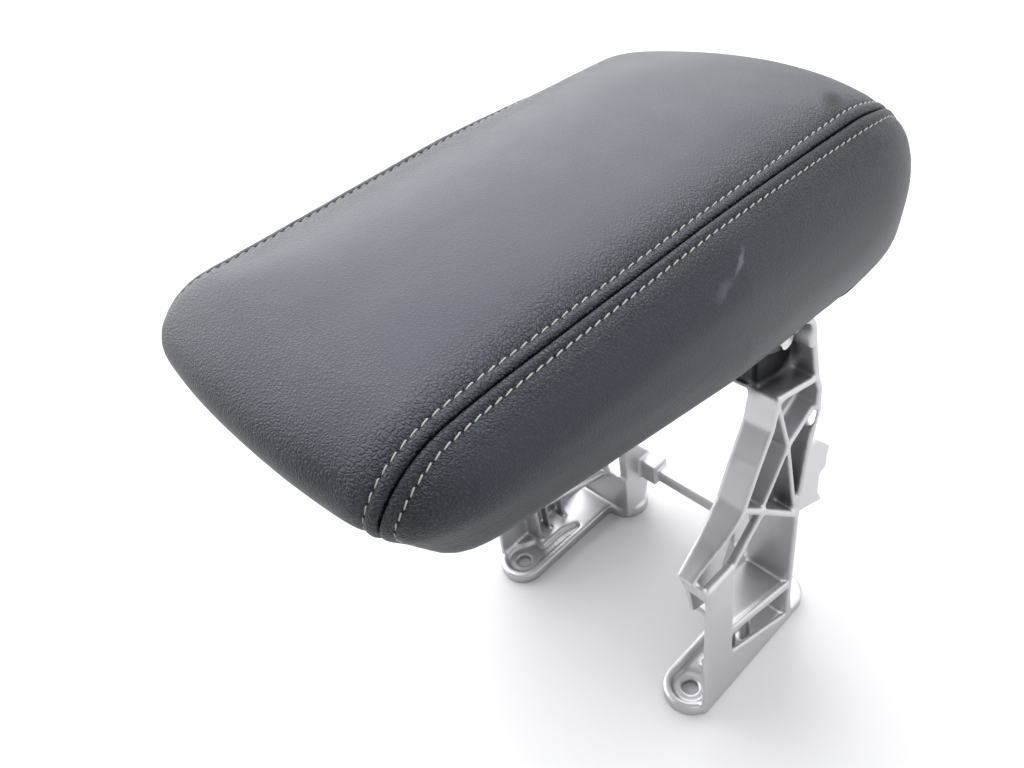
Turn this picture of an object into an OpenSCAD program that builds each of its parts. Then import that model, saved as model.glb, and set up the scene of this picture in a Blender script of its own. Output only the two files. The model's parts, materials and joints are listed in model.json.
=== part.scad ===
// Car armrest: a padded lid hinged on a die-cast bracket with two ribbed legs.
// Millimetres, +Z up, front towards -Y. The origin lies midway between the two front bolt holes,
// on the plane of the foot faces.

/* [Lid] */
// Length of the lid between its end corners
pad_l = 290; // [250:1:340]
// Width of the lid over its side panels
pad_w = 167; // [162:1:190]
// Thickness of the lid at its front end
pad_front_t = 51; // [46:1:60]
// Thickness of the lid at its rear end
pad_rear_t = 82; // [76:1:96]
// Height of the lid's top above the hinge axis
pad_top_h = 75; // [72:1:90]
// Distance of the lid's middle in front of the hinge axis
pad_fwd = 45; // [30:1:60]
// Bow of the front end beyond its corners
front_bow = 4.3; // [1:0.1:10]
// Bow of the rear end beyond its corners
rear_bow = 17; // [8:0.5:24]
// Crown of the top face
top_crown = 2.8; // [1:0.1:6]
// Bulge of the side panels
side_bulge = 1.3; // [0:0.1:4]
// Thickness of the cover material
cover_t = 1.6; // [1.2:0.1:2.4]
// Distance of each seam inside the lid's side
seam_in = 16.9; // [14:0.1:20]
// Gap between the panels in the seam groove
seam_gap = 1; // [0.6:0.1:2]

/* [Bracket] */
// Distance of the legs' outer faces inside the lid's sides
leg_in = 4.5; // [2:0.5:6]
// Depth of the leg's channel
leg_depth = 15; // [14:0.5:17]
// Thickness of the leg's web
web_t = 3; // [2.5:0.1:4]
// Thickness of the leg's front and rear flanges
flange_t = 3.2; // [2.6:0.1:4]
// Thickness of the crossing ribs
rib_t = 2.4; // [1.8:0.1:3]
// Height of the knee above the floor
knee_h = 110; // [104:1:114]
// Thickness of the foot plates
foot_t = 7; // [6:0.5:9]
// Distance between the front and rear rows of bolt holes
bolt_row = 79; // [74:1:84]
// Distance of the front bolt holes inside the legs' outer faces
front_bolt_in = 14.5; // [14:0.5:16]
// Distance of the rear bolt holes inside the legs' outer faces
rear_bolt_in = 31.5; // [30:0.5:33]
// Diameter of the bolt holes
bolt_d = 8.5; // [6.5:0.1:9]
// Diameter of the spot face round each bolt hole
spot_d = 20; // [16:0.5:21]
// Depth of the spot faces and of the pocket behind the front ones
spot_deep = 3; // [1:0.1:3.5]
// Height of the cross bar above the floor
bar_h = 38; // [34:1:42]
// Thickness of the cross bar
bar_t = 8; // [6:0.5:10]

/* [Hinge] */
// Height of the hinge axis above the floor
hinge_h = 210; // [206:1:222]
// Distance of the hinge axis behind the front bolt holes
hinge_y = 57; // [54:0.5:60]
// Radius of the ears round the hinge axis
ear_r = 12.5; // [11:0.5:13]
// Diameter of the hinge shaft
shaft_d = 8; // [7:0.5:9]
// Radial clearance of the shaft in its bushes
shaft_fit = 0.05; // [0.02:0.01:0.1]
// Wall of the bushes
bush_t = 1.5; // [1:0.1:2]
// Thickness of the hinge arms
arm_t = 4; // [3:0.5:5]
// Thickness of the thrust washers
washer_t = 1; // [0.8:0.1:1.4]
// Radial clearance between a washer and the shaft
washer_fit = 0.1; // [0.05:0.05:0.3]
// Running gap beside the thrust washers
run_gap = 0.1; // [0.05:0.05:0.3]
// Thickness of the rubber buffers
buffer_t = 4; // [3:0.5:5]

/* [Lid inside] */
// Wall of the moulded underside cover
tray_t = 2.5; // [2:0.1:3.2]
// Distance of the underside opening's edge inside the lid's sides
tray_in = 28.5; // [26:0.5:31]
// Wall of the support shell
shell_t = 2.5; // [2:0.1:3.5]
// Height of the support shell above the underside cover
shell_h = 17; // [16:1:20]
// Thickness of the ribs in the support shell
shell_rib_t = 2; // [1.6:0.1:3]
// Thickness of the edge strip that holds the cover
edge_t = 1.5; // [1:0.1:2]
// Thread diameter of the screws
screw_d = 4; // [3.5:0.5:5]

/* [Hidden] */

$fn = 40;
sphere_fn = 28;
cut = 1;
step = 0.3;
strut_end = 1.03;
big = 400;

// Lid: radii of the end forms, seen from the side
nose_r_y = 32;
nose_r_z = 19;
tail_r_y = 55;
tail_r_z = 43;
corner_r_x = 30;
low_front_r = 21;
low_rear_r = 24.7;
low_side_r = 23.2;
low_side_in = 4;
low_front_in = 11.7;
low_rear_in = 9.8;
seam_x = pad_w/2 - seam_in;
bow_r = 12;
bow_x = 30;
crown_y = 70;
side_drop = 20;
pad_org = [0, hinge_y - pad_fwd, hinge_h + pad_top_h];

// Underside plane of the lid, tangent to the lower front and rear rounds
low_front = [-pad_l/2 + low_front_r + low_front_in, -pad_front_t + low_front_r];
low_rear = [pad_l/2 - low_rear_r - low_rear_in, -pad_rear_t + low_rear_r];
low_run = norm(low_rear - low_front);
under_tilt = atan2(low_front[1] - low_rear[1], low_rear[0] - low_front[0])
           + asin((low_rear_r - low_front_r)/low_run);
up_y = sin(under_tilt);
up_z = cos(under_tilt);
rear_from_axis = [low_rear[0] - pad_fwd, low_rear[1] + pad_top_h];
front_from_axis = [low_front[0] - pad_fwd, low_front[1] + pad_top_h];
under_w = rear_from_axis[0]*up_y + rear_from_axis[1]*up_z - low_rear_r;
tray_v0 = front_from_axis[0]*up_z - front_from_axis[1]*up_y - 4;
tray_v1 = rear_from_axis[0]*up_z - rear_from_axis[1]*up_y + 4;
tray_w = pad_w - 2*tray_in;
tray_r = 26;

// Trough across the underside that takes the ears and the shaft
trough_gap = 1;
trough_wall = 1.5;
trough_r = ear_r + trough_gap;
trough_v = 34;
trough_w = 10;
trough_side = 0.8;
trough_x = pad_w/2 - leg_in + trough_side;
trough_fit = 0.2;
shell_w0 = under_w + tray_t;
shell_w1 = shell_w0 + shell_h;
edge_h = 10;

// Hinge arms and what lies beside them, across X
arm_r = 10;
arm_x1 = tray_w/2 - edge_t - shell_t - 0.5;
arm_x0 = arm_x1 - arm_t;
spring_t = 0.9;
spring_h = 1.5;
spring_r = shaft_d/2 + 3.5;
washer_x = arm_x1 + bush_t + run_gap;
spring_x = washer_x + washer_t;
boss_x = spring_x + 2*spring_h;
flange_w0 = shell_w0 + 5;
flange_w1 = flange_w0 + arm_t;
flange_v0 = -75;
flange_v1 = -20;
flange_x0 = arm_x1 - 24;
arm_screw_x = flange_x0 + 10;
arm_screw_v = [-68, -54, -40, -26];
screw_grip = 6.5;
head_d = 2*screw_d;
head_h = 2.4;
boss_r = 1.2*screw_d;
cover_screw_x = tray_w/2 - 14;
// The rear pair stands midway behind the trough, with its bosses inside the wall's corner rounds
rear_screw_v = (trough_v + trough_wall + tray_v1)/2;
corner_reach = tray_r - edge_t - shell_t - boss_r;
corner_v = rear_screw_v - (tray_v1 - tray_r);
rear_screw_x = min(cover_screw_x, tray_w/2 - tray_r + sqrt(max(0, corner_reach*corner_reach - corner_v*corner_v)));
cover_screws_at = [[cover_screw_x, tray_v0 + 18],
                   [cover_screw_x, (tray_v0 + flange_v0)/2 + 12],
                   [rear_screw_x, rear_screw_v]];
clip_t = 1.2;
clip_r = shaft_d/2 + 2.4;

// Bracket: the right leg's planes across X
out_x = pad_w/2 - leg_in;
web_x = out_x - leg_depth;
shaft_end = out_x - 0.4*leg_depth;
knee_x = out_x - 0.4*leg_depth;
strip_x = out_x - web_t;
front_bolt = [out_x - front_bolt_in, 0];
rear_bolt = [out_x - rear_bolt_in, bolt_row];
front_foot_r = front_bolt_in;
rear_foot_r = 13.5;
inner_foot_x = front_bolt[0] - front_foot_r;
pocket_r = 2;
pocket_end = [inner_foot_x + 3*pocket_r, bolt_row/2];
slot_w = 3.6;
slot_l = 11;

// Bracket: points of the right leg's side view, as [y, z]
hinge = [hinge_y, hinge_h];
shelf_front = hinge + [-12, -21];
shelf_rear = hinge + [17.5, -30];
front_bend = hinge + [-15.5, -36];
rear_bend = hinge + [21, -39];
knee_y = -7;
knee = [knee_y, knee_h];
shin_top = [hinge_y - 34, knee_h + 29];
shin_mid = mid(front_bend, shin_top) + [0.25, 1.5];
knee_mid = mid(shin_top, knee) + [1, -0.5];
heel_y = bolt_row - 10;
heel_top = [heel_y, knee_h - 17];
rear_waist = [heel_y + 5.5, knee_h + 30];
rear_back = mid(rear_bend, rear_waist) + [2.5, 2];
brace_mid = [hinge_y - 18.5, knee_h + 14];
brace_cross = hinge + [0, -59];
toe_y = -6;
strip_y1 = 17;
strip_h = knee_h - 4;
sill_front = [strip_y1, 33];
sill_rear = [heel_y, foot_t];
lintel_front = [strip_y1, 51];
lintel_rear = [heel_y, 34];
base_rear_y = bolt_row + 12;

// The ledge's top lies at a fixed distance under the hinge axis; the heel of each arm rests on it
ledge_run = (shelf_rear - shelf_front)/norm(shelf_rear - shelf_front);
ledge_up = [-ledge_run[1], ledge_run[0]];
ledge_drop = (shelf_front - hinge)*ledge_up + flange_t/2 - step;
heel_s0 = -7;
heel_s1 = -0.3;
heel_gap = 0.1;

function mid(a, b, t = 0.5) = a + (b - a)*t;
// Point beside the hinge axis, s along the ledge and h above it
function stop_point(s, h) = ledge_run*s + ledge_up*(ledge_drop + h);
// Turns a point beside the hinge axis into the lid's frame
function to_lid(p) = [p[0]*up_z - p[1]*up_y, p[0]*up_y + p[1]*up_z];

// Extrudes a side view, drawn as [y, z], from x0 to x1
module side_plate(x0, x1) {
    translate([x0, 0, 0])
        rotate([90, 0, 90])
            linear_extrude(x1 - x0)
                children();
}

// One straight strut with round ends
module strut(a, b, t) {
    translate(a)
        rotate(atan2(b[1] - a[1], b[0] - a[0]))
            translate([0, -t/2])
                square([norm(b - a), t]);
    for (p = [a, b])
        translate(p)
            circle(d = t*strut_end);
}

// A run of struts along a list of points
module strut_run(pts, t) {
    for (i = [0:len(pts) - 2])
        strut(pts[i], pts[i + 1], t);
}

module cyl_x(d, x0, x1) {
    translate([x0, 0, 0])
        rotate([0, 90, 0])
            cylinder(d = d, h = x1 - x0);
}

module at_hinge() {
    translate([0, hinge_y, hinge_h])
        children();
}

// Local frame of the lid's underside: y runs along it, z stands on it, x is the hinge axis
module in_lid() {
    at_hinge()
        rotate([-under_tilt, 0, 0])
            children();
}

module both_sides() {
    children();
    mirror([1, 0, 0])
        children();
}

// The channel of the upper leg: web, flanges and crossing ribs
module upper_leg() {
    side_plate(web_x, web_x + web_t)
        polygon([shelf_front, front_bend, shin_mid, shin_top, brace_mid, heel_top,
                 rear_waist, rear_back, rear_bend, shelf_rear]);
    side_plate(web_x, out_x) {
        strut_run([shelf_front, front_bend, shin_mid, shin_top], flange_t);
        strut_run([shelf_rear, rear_bend, rear_back, rear_waist, heel_top], flange_t);
        strut_run([shelf_front, shelf_rear], flange_t);
        strut_run([shin_top, brace_mid, heel_top], flange_t);
    }
    side_plate(web_x, out_x - cut) {
        strut_run([shelf_front, brace_cross, heel_top], rib_t);
        strut_run([mid(rear_bend, rear_waist, 0.3), brace_cross, brace_mid], rib_t);
    }
}

// The ear round the hinge axis, with its rim
module ear() {
    side_plate(web_x, web_x + web_t) {
        translate(hinge)
            circle(r = ear_r);
        polygon([hinge + [-ear_r, 0], shelf_front, shelf_rear, hinge + [ear_r, 0]]);
    }
    difference() {
        side_plate(web_x, out_x)
            difference() {
                union() {
                    translate(hinge)
                        circle(r = ear_r);
                    strut(hinge + [ear_r - flange_t/2, 0], shelf_rear, flange_t);
                }
                translate(hinge)
                    circle(r = ear_r - flange_t);
            }
        translate([web_x + web_t, hinge_y - big, hinge_h - big])
            cube([leg_depth, big - ear_r/3, 2*big]);
        translate([web_x + web_t, hinge_y - ear_r, hinge_h - 2*ear_r])
            cube([leg_depth, 1.7*ear_r, 2*ear_r - 2]);
    }
    at_hinge()
        cyl_x(2*shaft_d, boss_x, web_x + web_t + 1.5);
}

// The knee, where the front flange turns over and narrows
module knee_piece() {
    intersection() {
        side_plate(web_x, out_x)
            strut_run([shin_top, knee_mid, knee + [1, 2]], flange_t);
        translate([0, big/2, 0])
            rotate([90, 0, 0])
                linear_extrude(big)
                    polygon([[web_x - cut, knee_h - 10], [knee_x, knee_h - 10], [knee_x, knee_h],
                             [knee_x + 1, knee_h + 6], [knee_x + 3, knee_h + 13], [out_x - 1, knee_h + 20],
                             [out_x + step, shin_top[1]], [out_x + step, shin_top[1] + 9],
                             [web_x - cut, shin_top[1] + 9]]);
    }
    side_plate(web_x + step, out_x - step)
        strut_run([knee + [2, 0], [knee_y + 5, strip_h - 7]], flange_t - step);
    side_plate(web_x, web_x + web_t)
        polygon([knee + [0.5, 2], knee_mid, shin_top, brace_mid, [strip_y1, strip_h - 36],
                 [knee_y + 8, strip_h - 30], [knee_y + 4, strip_h - 4]]);
}

// The lower leg: outer wall with its window, heel wall, shelf and sill
module lower_leg() {
    rib_x1 = strip_x - web_t;
    difference() {
        side_plate(strip_x, out_x)
            polygon([[toe_y, 0], [toe_y + 3.5, strip_h], [strip_y1, strip_h],
                     lintel_front + [0, 4], lintel_rear + [0, 4], sill_rear + [4, 0], [base_rear_y - 8, 0]]);
        side_plate(strip_x - cut, out_x + cut)
            polygon([sill_front, lintel_front, lintel_rear, sill_rear]);
    }
    side_plate(strip_x - 1.5, out_x - step)
        strut_run([[toe_y + 5, strip_h - 1], [strip_y1, strip_h - 1], brace_mid + [step, -step]], flange_t + step);
    side_plate(inner_foot_x + 2, out_x) {
        strut_run([lintel_front, lintel_rear], flange_t);
        strut_run([heel_top, [heel_y, foot_t/2]], flange_t);
    }
    side_plate(rib_x1 - 3*web_t, strip_x + cut)
        strut_run([lintel_front, [strip_y1, foot_t/2]], rib_t);
    for (t = [0.2, 0.45])
        side_plate(rib_x1 - 2*web_t, rib_x1)
            strut_run([[mid(sill_front, sill_rear, t)[0], foot_t/2], mid(lintel_front, lintel_rear, t)], rib_t);
}

// The foot plate of one leg with its bolt holes and the pocket behind the front one
module foot_plate() {
    difference() {
        union() {
            translate([front_bolt[0], front_bolt[1], 0])
                cylinder(r = front_foot_r, h = foot_t);
            translate([inner_foot_x, front_bolt[1], 0])
                cube([2*front_foot_r, base_rear_y - front_bolt[1] - 10, foot_t]);
            translate([out_x - 14, base_rear_y - 12, 0])
                cylinder(r = 14, h = foot_t);
            translate([rear_bolt[0], rear_bolt[1], 0])
                cylinder(r = rear_foot_r, h = foot_t);
            translate([rear_bolt[0], rear_bolt[1] - rear_foot_r, 0])
                cube([out_x - 14 - rear_bolt[0], 2*rear_foot_r, foot_t]);
        }
        for (p = [front_bolt, rear_bolt])
            translate([p[0], p[1], 0]) {
                translate([0, 0, -cut])
                    cylinder(d = bolt_d, h = foot_t + 2*cut);
                translate([0, 0, foot_t - spot_deep])
                    cylinder(d = spot_d, h = big);
            }
        translate([0, 0, foot_t - spot_deep + step])
            linear_extrude(big)
                difference() {
                    union() {
                        translate(front_bolt)
                            circle(d = spot_d - 2*step);
                        translate(pocket_end)
                            circle(pocket_r);
                        polygon([front_bolt - [spot_d/2 - 2*step, 0], pocket_end - [pocket_r - step/10, 0],
                                 pocket_end + [pocket_r - step/10, 0], front_bolt + [spot_d/2 - 2*step, 0]]);
                    }
                    translate([strip_x - 5*web_t, strip_y1 - rib_t])
                        square([leg_depth, bolt_row]);
                }
    }
}

// The gusset that stands on the rear foot and carries the cross bar
module bar_gusset() {
    side_plate(rear_bolt[0] - rear_foot_r + 2, rear_bolt[0] - rear_foot_r + 2 + 2*web_t)
        polygon([[heel_y, foot_t/2], [heel_y, bar_h + 30], [heel_y + 6, bar_h + 30],
                 [bolt_row + 12, bar_h + bar_t], [bolt_row + 12, bar_h - bar_t], [bolt_row + 4, foot_t/2]]);
    translate([rear_bolt[0] - rear_foot_r + 2, heel_y - web_t/2, foot_t/2])
        cube([out_x - rear_bolt[0] + rear_foot_r - 3, web_t, bar_h - foot_t/2]);
}

// The stepped lug behind the leg
module rear_lug() {
    side_plate(out_x - 10, out_x - 10 + web_t)
        polygon([rear_waist + [0, -12], rear_waist + [20, -19], [rear_waist[0] + 32, knee_h - 2],
                 [rear_waist[0] + 31, knee_h - 18], [rear_waist[0] + 26, knee_h - 18],
                 [rear_waist[0] + 26, knee_h - 32], [rear_waist[0] + 31, knee_h - 43],
                 [rear_waist[0] + 12, knee_h - 34], heel_top + [0, -10]]);
}

// Slot through the rear flange, just under the end of the crossing rib
module flange_slot() {
    slot_top = mid(rear_bend, rear_waist, 0.3)[1] - rib_t;
    translate([out_x - 0.2*leg_depth, rear_back[0] + flange_t, slot_top - slot_l/2])
        rotate([90, 0, 0])
            linear_extrude(2*flange_t)
                for (k = [-1, 1]) {
                    translate([0, k*(slot_l - slot_w)/2])
                        circle(d = slot_w);
                    square([slot_w - step, slot_l - slot_w], center = true);
                }
}

// The ledge on the inner side of the leg that carries a rubber buffer
module stop_ledge() {
    side_plate(arm_x0 - 2, out_x - step)
        strut_run([shelf_front, mid(shelf_front, shelf_rear, 0.6)], flange_t - 2*step);
}

module cross_bar() {
    bar_x = rear_bolt[0] - rear_foot_r + 2;
    translate([-bar_x - web_t, bolt_row + 8 - bar_t/2, bar_h - bar_t/2])
        cube([2*(bar_x + web_t), bar_t, bar_t]);
    both_sides()
        translate([bar_x - 12, bolt_row + 8 - bar_t/2 - 2, bar_h - bar_t/2 - 3])
            cube([14, bar_t + 4, bar_t + 7]);
}

module bracket_casting() {
    color("silver")
        difference() {
            union() {
                both_sides() {
                    upper_leg();
                    ear();
                    knee_piece();
                    lower_leg();
                    foot_plate();
                    bar_gusset();
                    rear_lug();
                    stop_ledge();
                }
                cross_bar();
            }
            at_hinge()
                cyl_x(shaft_d, -big/2, big/2);
            both_sides()
                flange_slot();
        }
}

module hinge_shaft() {
    color("gainsboro")
        at_hinge()
            cyl_x(shaft_d, -shaft_end, shaft_end);
}

module shaft_clips() {
    color("dimgray")
        both_sides()
            at_hinge()
                difference() {
                    cyl_x(2*clip_r, web_x + web_t + 1.5, web_x + web_t + 1.5 + clip_t);
                    cyl_x(shaft_d, web_x, out_x);
                }
}

module buffer() {
    side_plate(arm_x0 - 1, arm_x1 + 1)
        polygon([for (p = [[heel_s0, 0], [heel_s1, 0], [heel_s1, buffer_t], [heel_s0, buffer_t]])
            hinge + stop_point(p[0], p[1])]);
}

module left_buffer() {
    color("black")
        mirror([1, 0, 0])
            buffer();
}

module right_buffer() {
    color("black")
        buffer();
}

// Pressed hinge arm: an upright blade round the shaft and a flange under the support shell
module hinge_arm() {
    in_lid()
        difference() {
            union() {
                side_plate(arm_x0, arm_x1) {
                    circle(r = arm_r);
                    polygon([[flange_v1, flange_w0 - arm_r], [flange_v1 - 14, flange_w0],
                             [flange_v0, flange_w0], [flange_v0, flange_w1], [-14, flange_w1], [4, arm_r - 1],
                             [arm_r - 1, 0], to_lid(stop_point(heel_s1, buffer_t + heel_gap)),
                             to_lid(stop_point(heel_s0, buffer_t + heel_gap))]);
                }
                translate([flange_x0, flange_v0, flange_w0])
                    cube([arm_x1 - flange_x0 - cut, flange_v1 - flange_v0, arm_t]);
            }
            cyl_x(shaft_d + 2*shaft_fit + 2*bush_t, arm_x0 - cut, arm_x1 + cut);
            for (v = arm_screw_v)
                translate([arm_screw_x, v, flange_w0 - cut])
                    cylinder(d = screw_d, h = arm_t + 2*cut);
        }
}

module left_hinge_arm() {
    color("slategray")
        mirror([1, 0, 0])
            hinge_arm();
}

module right_hinge_arm() {
    color("slategray")
        hinge_arm();
}

module bush() {
    at_hinge()
        difference() {
            union() {
                cyl_x(shaft_d + 2*shaft_fit + 2*bush_t, arm_x0, arm_x1 + bush_t);
                cyl_x(2*spring_r, arm_x1, arm_x1 + bush_t);
            }
            cyl_x(shaft_d + 2*shaft_fit, arm_x0 - cut, arm_x1 + bush_t + cut);
        }
}

module left_bush() {
    color("goldenrod")
        mirror([1, 0, 0])
            bush();
}

module right_bush() {
    color("goldenrod")
        bush();
}

module thrust_washer() {
    at_hinge()
        difference() {
            cyl_x(2*spring_r, washer_x, washer_x + washer_t);
            cyl_x(shaft_d + 2*washer_fit, washer_x - cut, washer_x + washer_t + cut);
        }
}

module left_thrust_washer() {
    color("lightsteelblue")
        mirror([1, 0, 0])
            thrust_washer();
}

module right_thrust_washer() {
    color("lightsteelblue")
        thrust_washer();
}

// Two conical springs back to back between the thrust washer and the ear's boss
module disc_springs() {
    section = [[shaft_d/2 + washer_fit, 0], [spring_r, spring_h - spring_t - 0.02],
               [spring_r, spring_h - 0.02], [shaft_d/2 + washer_fit, spring_t]];
    at_hinge()
        rotate([0, 90, 0]) {
            translate([0, 0, spring_x])
                rotate_extrude()
                    polygon(section);
            translate([0, 0, boss_x])
                mirror([0, 0, 1])
                    rotate_extrude()
                        polygon(section);
        }
}

module left_disc_springs() {
    color("steelblue")
        mirror([1, 0, 0])
            disc_springs();
}

module right_disc_springs() {
    color("steelblue")
        disc_springs();
}

module arm_screws() {
    color("darkgray")
        both_sides()
            in_lid()
                for (v = arm_screw_v)
                    translate([arm_screw_x, v, flange_w0]) {
                        translate([0, 0, -head_h])
                            cylinder(d = head_d, h = head_h);
                        cylinder(d = screw_d, h = arm_t + screw_grip);
                    }
}

// Outline of the lid's underside opening, drawn inwards by the given inset
module tray_outline(inset) {
    hx = tray_w/2 - tray_r;
    r = tray_r - inset;
    for (x = [-hx, hx], v = [tray_v0 + tray_r, tray_v1 - tray_r])
        translate([x, v])
            circle(r);
    translate([-hx - r, tray_v0 + tray_r])
        square([2*(hx + r), tray_v1 - tray_v0 - 2*tray_r]);
    translate([-hx, tray_v0 + inset])
        square([2*hx, tray_v1 - tray_v0 - 2*inset]);
}

// A straight block on the tray outline, from w0 to w1 in the lid's frame
module tray_block(inset, w0, w1) {
    translate([0, 0, w0])
        linear_extrude(w1 - w0)
            tray_outline(inset);
}

// The trough's space, grown by the given amount
module trough_form(grow) {
    cyl_x(2*(trough_r + grow), -trough_x, trough_x);
    translate([-trough_x, 0, -trough_r])
        cube([2*trough_x, trough_v + grow, trough_r + trough_w + grow]);
}

module shell_boss(p, w0) {
    translate([p[0], p[1], w0])
        cylinder(r = boss_r, h = shell_w1 - w0 - cut);
}

module support_shell() {
    rib_reach = flange_x0 - 2;
    color("dimgray")
        in_lid()
            difference() {
                union() {
                    difference() {
                        tray_block(edge_t, shell_w0, shell_w1);
                        tray_block(edge_t + shell_t, shell_w0 - cut, shell_w1 - shell_t);
                    }
                    intersection() {
                        tray_block(edge_t + cut, shell_w0, shell_w1 - cut);
                        union() {
                            for (x = [-rib_reach + shell_rib_t, 0, rib_reach - shell_rib_t])
                                translate([x - shell_rib_t/2, -big, shell_w0])
                                    cube([shell_rib_t, 2*big, shell_h]);
                            for (v = arm_screw_v)
                                translate([-rib_reach, v - shell_rib_t/2, shell_w0])
                                    cube([2*rib_reach, shell_rib_t, shell_h]);
                            for (v = [tray_v0 + 34, flange_v0 - 14, trough_v + 14])
                                translate([-tray_w/2, v - shell_rib_t/2, shell_w0])
                                    cube([tray_w, shell_rib_t, shell_h]);
                        }
                    }
                    both_sides() {
                        for (v = arm_screw_v)
                            shell_boss([arm_screw_x, v], flange_w1);
                        for (p = cover_screws_at)
                            shell_boss(p, shell_w0);
                    }
                }
                trough_form(trough_wall + trough_fit);
                both_sides() {
                    for (v = arm_screw_v)
                        translate([arm_screw_x, v, flange_w1 - cut])
                            cylinder(d = screw_d, h = screw_grip + cut);
                    for (p = cover_screws_at)
                        translate([p[0], p[1], shell_w0 - cut])
                            cylinder(d = screw_d, h = screw_grip + cut);
                }
            }
}

module underside_cover() {
    color("darkslategray")
        difference() {
            union() {
                in_lid()
                    tray_block(edge_t, under_w, shell_w0);
                intersection() {
                    in_lid()
                        trough_form(trough_wall);
                    in_lid()
                        translate([-big/2, -big/2, under_w])
                            cube([big, big, big]);
                    lid_form(0);
                }
            }
            in_lid()
                trough_form(0);
            both_sides()
                in_lid() {
                    translate([arm_x0 - 0.5, flange_v1 - 24, -arm_r])
                        cube([arm_t + 1, 24 - flange_v1, 2*arm_r + 5]);
                    for (p = cover_screws_at)
                        translate([p[0], p[1], under_w]) {
                            translate([0, 0, -cut])
                                cylinder(d = screw_d, h = tray_t + 2*cut);
                            cylinder(d1 = head_d, d2 = screw_d, h = head_d/2 - screw_d/2);
                        }
                }
        }
}

module cover_screws() {
    color("darkgray")
        both_sides()
            in_lid()
                for (p = cover_screws_at)
                    translate([p[0], p[1], under_w]) {
                        cylinder(d1 = head_d, d2 = screw_d, h = head_d/2 - screw_d/2);
                        cylinder(d = screw_d, h = tray_t + screw_grip);
                    }
}

module edge_strip() {
    color("black")
        in_lid()
            difference() {
                tray_block(0, under_w, under_w + edge_h);
                tray_block(edge_t, under_w - cut, under_w + edge_h + cut);
                trough_form(trough_wall + trough_fit);
            }
}

// One rounded corner of the lid's closed form
module round_at(p, r) {
    translate(p)
        scale(r)
            sphere(1, $fn = sphere_fn);
}

// Closed form of the padded lid, drawn inwards by the given inset
module lid_form(inset) {
    i3 = [inset, inset, inset];
    cx = pad_w/2 - corner_r_x;
    lx = pad_w/2 - low_side_in - low_side_r;
    sx = pad_w/2 + side_bulge - low_side_r;
    translate(pad_org)
        hull() {
            for (k = [-1, 1]) {
                round_at([k*cx, -pad_l/2 + nose_r_y, -nose_r_z], [corner_r_x, nose_r_y, nose_r_z] - i3);
                round_at([k*cx, pad_l/2 - tail_r_y, -tail_r_z], [corner_r_x, tail_r_y, tail_r_z] - i3);
                round_at([k*lx, low_front[0], low_front[1]], [low_side_r, low_front_r, low_front_r] - i3);
                round_at([k*lx, low_rear[0], low_rear[1]], [low_side_r, low_rear_r, low_rear_r] - i3);
                round_at([k*sx, 0, -low_side_r], [low_side_r, low_side_r, low_side_r] - i3);
                round_at([k*sx, 0, -low_side_r - side_drop], [low_side_r, low_side_r, low_side_r] - i3);
            }
            for (x = [-bow_x, 0, bow_x]) {
                share = 1 - (x/cx)*(x/cx);
                round_at([x, -pad_l/2 + nose_r_y - front_bow*share, -nose_r_z], [bow_r, nose_r_y, nose_r_z] - i3);
                round_at([x, pad_l/2 - tail_r_y + rear_bow*share, -tail_r_z], [bow_r, tail_r_y, tail_r_z] - i3);
                round_at([x, low_front[0] - front_bow*share, low_front[1]], [bow_r, low_front_r, low_front_r] - i3);
            }
            for (y = [-crown_y, 0, crown_y])
                round_at([0, y, top_crown*(1 - (2*y/pad_l)*(2*y/pad_l)) - bow_r], [bow_r, bow_r, bow_r] - i3);
        }
}

module foam_pad() {
    color("khaki")
        difference() {
            lid_form(cover_t);
            in_lid() {
                tray_block(0, -big, shell_w1);
                trough_form(trough_wall + trough_fit);
            }
        }
}

// The sewn cover all round the foam, open at the underside
module cover_form() {
    difference() {
        lid_form(0);
        lid_form(cover_t);
        in_lid() {
            tray_block(0, -big, shell_w1);
            trough_form(trough_wall + trough_fit);
        }
    }
}

// Space of the side panels: outside the seam, and the strips along the underside
module side_space(grow) {
    edge_x = seam_x - grow;
    both_sides() {
        translate([edge_x, -big, -big])
            cube([big, 2*big, 3*big]);
        in_lid()
            translate([edge_x - tray_r, tray_v0 + tray_r - grow, -big])
                cube([big, tray_v1 - tray_v0 - 2*tray_r + 2*grow, big + under_w + 3 + grow]);
    }
}

module cover_centre() {
    color([0.42, 0.43, 0.46])
        difference() {
            cover_form();
            side_space(seam_gap/2);
        }
}

module cover_side() {
    intersection() {
        cover_form();
        side_space(-seam_gap/2);
        translate([0, -big, -big])
            cube([big, 2*big, 3*big]);
    }
}

module cover_left() {
    color([0.24, 0.25, 0.27])
        mirror([1, 0, 0])
            cover_side();
}

module cover_right() {
    color([0.24, 0.25, 0.27])
        cover_side();
}

bracket_casting();
hinge_shaft();
shaft_clips();
left_buffer();
right_buffer();
left_hinge_arm();
right_hinge_arm();
left_bush();
right_bush();
left_thrust_washer();
right_thrust_washer();
left_disc_springs();
right_disc_springs();
arm_screws();
support_shell();
underside_cover();
cover_screws();
edge_strip();
foam_pad();
cover_centre();
cover_left();
cover_right();
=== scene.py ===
"""Looks of a car armrest: a padded, sewn lid hinged on a die-cast bracket.

The sewn cover, its foam and its top stitching are built here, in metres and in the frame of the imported
CAD model. The rigid parts keep their CAD meshes and get their finishes here.
"""

import json
import logging
import math
from dataclasses import dataclass, field
from enum import Enum

import bmesh
import bpy
import numpy as np
from mathutils import Matrix, Vector, noise
from mathutils.bvhtree import BVHTree

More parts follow.
